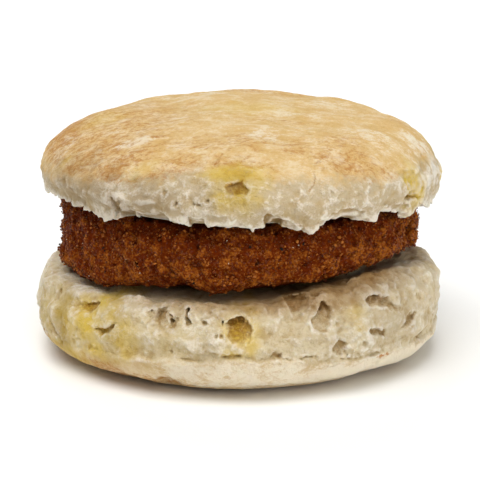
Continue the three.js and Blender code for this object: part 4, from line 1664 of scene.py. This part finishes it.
class SANDWICH_OT_lower_half(Operator):
    """Shape and finish the lower half of the biscuit"""

    bl_idname = "sandwich.lower_half"
    bl_label = "Lower half"

    def execute(self, context):
        look = context.scene.sandwich_biscuit
        block = shape_lower_half(look, np.random.default_rng(LOWER_DRAWS))
        finish = biscuit_finish("torn_biscuit", look, look.crumb)
        piece = make_piece("lower_half", *block.skin(), finish, look.triangles)
        corners = corners_of(piece)
        place = Place(*corners.T)
        waves, shape_waves = Waves(LOWER_MARKS), Waves(LOWER_WAVES)
        edge = MARK_EDGE * waves(place, 2.2, 3)
        over = place.z - lower_crust_line(place, shape_waves)
        crust = 1 - smooth(over + 0.4 * waves(place, 1, 2), -1.6, 0.2)
        foot = 1 - smooth(place.z + 0.6 * waves(place, 4, 3), 0.2, 2.6)
        shade, brown = pocket_marks(all_round(POCKETS), place, shape_waves)
        toast = np.maximum(on_side(place, all_round(TOASTED_FOOT), edge), 0.5 * foot)
        flour = 1.05 * crust * smooth(place.z, 0.5, 3) * smooth(turned(place.angle, -36), 2, 24)
        cut = smooth(place.z, 17, 20)
        paint(
            piece,
            crust=0.55 * crust,
            toast=np.maximum(toast, 1.5 * brown),
            butter=on_side(place, all_round(LOWER_BUTTER), edge, 0.1),
            flour=flour * (1 + 0.8 * smooth(place.angle, 14, 36)),
            # Painted shade in pockets and wherever the surface lies below its plain skin
            deep=np.maximum(shade, 0.6 * smooth(-block.sample_plain(corners), 0.8, 2.4)),
            # Painted shade on the lower half's side and on the ledge beside the patty
            dull=on_side(place, LOWER_PAINTED_SHADE, edge, 0.1),
            # Painted shadow of the patty and upper half on the cut face
            stain=along(CUT_FACE_SHADOW, place) * cut * (1 - smooth(place.radius + 2.5 * edge, 39.5, 46)),
            # Ridges paler as dry dough and painted highlight, hollows darker as painted shade
            ridge=0.5 + 2.4 * block.ridges(corners, 1.6),
        )
        hold(piece, "pale_biscuit", "biscuit_bottom")
        return {"FINISHED"}


class SANDWICH_OT_upper_half(Operator):
    """Shape and finish the upper half of the biscuit"""

    bl_idname = "sandwich.upper_half"
    bl_label = "Upper half"

    def execute(self, context):
        look = context.scene.sandwich_biscuit
        block = shape_upper_half(look, np.random.default_rng(UPPER_DRAWS))
        # The upper half's crumb is darker as painted shade
        finish = biscuit_finish("golden_biscuit", look, look.shaded_upper_crumb)
        piece = make_piece("upper_half", *block.skin(), finish, look.triangles)
        corners = corners_of(piece)
        place = Place(*corners.T)
        waves, shape_waves = Waves(UPPER_MARKS), Waves(UPPER_WAVES)
        edge = MARK_EDGE * waves(place, 2.2, 3)
        over = place.z - upper_crust_line(place, shape_waves)
        crust = smooth(over + 0.6 * waves(place, 1, 2), -2.2, 1.2)
        crown = smooth(place.z, 43.5, 46)
        butter = on_side(place, all_round(UPPER_BUTTER), edge, 0.1)
        butter = np.maximum(butter, crown * on_crown(place, CROWN_BUTTER, edge))
        toast = crown * on_crown(place, BROWNED, edge)
        shade, brown = pocket_marks(all_round(TOP_POCKETS), place, shape_waves)
        shade = np.maximum(shade, recess_marks(LEDGES, place, shape_waves))
        toast = np.maximum(toast, np.maximum(1.5 * brown, 0.7 * crack_marks(CRACKS, place)))
        thin = along(TORN_EDGE, place) + 1.2 + 0.5 * waves(place, 1.4, 2) - place.z
        thin = smooth(thin, -0.6, 0.6) * smooth(place.radius, 40, 42)
        # Thin torn edges are drier and paler; painted light is added where the upper half's side is
        # brighter
        dry_edge_and_light = 0.25 * thin + on_side(place, UPPER_PAINTED_LIGHT, edge, 0)
        paint(
            piece,
            crust=crust,
            toast=np.maximum(toast, 1.6 * crown * on_crown(place, DARK_SPECKS, edge, 0.9)),
            butter=butter,
            flour=crust * (0.3 + 0.5 * on_crown(place, FLOURED, edge)),
            # Painted shade on the upper half's side
            dull=on_side(place, all_round(UPPER_PAINTED_SHADE), edge, 0.1),
            # Painted shade in pockets and in the recesses under ledges, kept off thin edges
            deep=shade * (1 - thin),
            # Ridges paler as dry dough and painted highlight, hollows darker as painted shade, plus
            # painted light
            ridge=0.5 + 2.4 * block.ridges(corners, 1.6) + dry_edge_and_light,
        )
        hold(piece, "golden_biscuit", "biscuit_top")
        return {"FINISHED"}


class SANDWICH_OT_patty(Operator):
    """Shape the breaded patty and scatter its crumbs, grains, pepper and salt"""

    bl_idname = "sandwich.patty"
    bl_label = "Breaded patty"

    def execute(self, context):
        look = context.scene.sandwich_patty
        rng = np.random.default_rng(PATTY_DRAWS)
        block = shape_patty(look, rng)
        piece = make_piece("breaded_patty", *block.skin(), breading_finish(look), look.triangles)
        corners = corners_of(piece)
        # Painted shade under the upper half's rim lowers how proud the coating reads, so it takes its
        # deep colour
        rim_shade = on_side(Place(*corners.T), PATTY_RIM_SHADE, 0, 0)
        paint(piece, proud=smooth(block.sample_plain(corners), -0.9, 0.6) - rim_shade)
        hold(piece, "fried_breading", "chicken_patty")

        def coated(place):
            return smooth(place.radius, 34, 38)

        crumbs = grain_finish("crumbs", look.coat, look.golden, 0.4, 0.25)
        grains = grain_finish("grains", look.deep, look.golden, 0.4, 0.3)
        pepper = grain_finish("pepper", look.pepper, look.pepper, 0.6, 0.2)
        salt = grain_finish("salt", look.salt, look.salt, 0.15, 0.6)
        kinds = (
            ("breading_crumbs", look.crumbs, 0.14, 0.42, crumbs),
            ("breading_grains", look.grains, 0.1, 0.22, grains),
            ("pepper_flecks", PEPPER_COUNT, 0.22, 0.4, pepper),
            ("salt_grains", SALT_COUNT, 0.1, 0.18, salt),
        )
        for name, count, small, large, finish in kinds:
            points, outs = picks(block, coated, count, rng)
            sizes = small + (large - small) * rng.random(len(points)) ** 2
            hold(scatter(name, points, outs, sizes, finish, rng), "fried_breading")
        return {"FINISHED"}


class SANDWICH_OT_stage(Operator):
    """Set up the floor, the lights and the camera"""

    bl_idname = "sandwich.stage"
    bl_label = "Stage"

    def execute(self, context):
        look = context.scene.sandwich_stage
        scene = context.scene
        finish = Finish("plain_floor")
        finish.wear({"Base Color": look.floor, "Roughness": 0.9, "Specular IOR Level": 0.1})
        ways = ((-1, -1), (1, -1), (1, 1), (-1, 1))
        corners = [(x * FLOOR_REACH, y * FLOOR_REACH, FLOOR_HEIGHT) for x, y in ways]
        make_piece("floor", corners, [(0, 1, 2, 3)], finish.material)

        target = Vector((0, 0, look.target))
        back = Vector((0, -math.cos(look.elevation), math.sin(look.elevation)))
        camera = bpy.data.cameras.new("camera")
        camera.sensor_width = SENSOR_WIDTH
        camera.lens = camera.sensor_width * look.distance / look.view_width
        camera.clip_start = 0.01
        eye = bpy.data.objects.new("camera", camera)
        eye.location = target + back * look.distance
        eye.rotation_euler = (-back).to_track_quat("-Z", "Y").to_euler()
        scene.collection.objects.link(eye)
        scene.camera = eye

        key = bpy.data.lights.new("key", "SUN")
        key.energy = look.key
        key.angle = look.softness
        lamp = bpy.data.objects.new("key", key)
        lamp.rotation_euler = Vector(KEY_WAY).to_track_quat("-Z", "Y").to_euler()
        scene.collection.objects.link(lamp)
        self.add_light(scene, "front", look.front, FRONT_LAMP, target)
        self.add_light(scene, "fill", look.fill, FILL_LAMP, target)
        self.add_light(scene, "back", look.back, BACK_LAMP, target)
        world = bpy.data.worlds.new("studio")
        world.use_nodes = True
        sky = world.node_tree.nodes["Background"].inputs
        sky["Color"].default_value = (1, 1, 1, 1)
        sky["Strength"].default_value = look.sky
        scene.world = world
        scene.view_settings.view_transform = "Standard"
        return {"FINISHED"}

    def add_light(self, scene, name, power, location, target):
        """Adds a soft round light that points at the sandwich."""
        light = bpy.data.lights.new(name, "AREA")
        light.shape = "DISK"
        light.size = LAMP_WIDTH
        light.energy = power
        lamp = bpy.data.objects.new(name, light)
        lamp.location = location
        lamp.rotation_euler = (target - lamp.location).to_track_quat("-Z", "Y").to_euler()
        scene.collection.objects.link(lamp)


STEPS = (SANDWICH_OT_lower_half, SANDWICH_OT_upper_half, SANDWICH_OT_patty, SANDWICH_OT_stage)
LOOKS = {"sandwich_biscuit": BiscuitLook, "sandwich_patty": PattyLook, "sandwich_stage": StageLook}


class SANDWICH_PT_panel(Panel):
    """Sizes and colours of the sandwich, and the steps that make it"""

    bl_idname = "SANDWICH_PT_panel"
    bl_label = "Breakfast Sandwich"
    bl_space_type = "VIEW_3D"
    bl_region_type = "UI"
    bl_category = "Sandwich"

    def draw(self, context):
        for step in STEPS:
            self.layout.operator(step.bl_idname)
        for name, look in LOOKS.items():
            box = self.layout.box()
            for setting in look.__annotations__:
                box.prop(getattr(context.scene, name), setting)


CLASSES = (*LOOKS.values(), *STEPS, SANDWICH_PT_panel)


def register():
    for kind in CLASSES:
        bpy.utils.register_class(kind)
    for name, look in LOOKS.items():
        setattr(bpy.types.Scene, name, PointerProperty(type=look))


def unregister():
    for name in LOOKS:
        delattr(bpy.types.Scene, name)
    for kind in reversed(CLASSES):
        bpy.utils.unregister_class(kind)


def write_sizes():
    """Brings the positions of every object up to date."""
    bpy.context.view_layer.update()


def main():
    register()
    bpy.ops.sandwich.lower_half()
    bpy.ops.sandwich.upper_half()
    bpy.ops.sandwich.patty()
    bpy.ops.sandwich.stage()
    write_sizes()


if __name__ == "__main__":
    main()
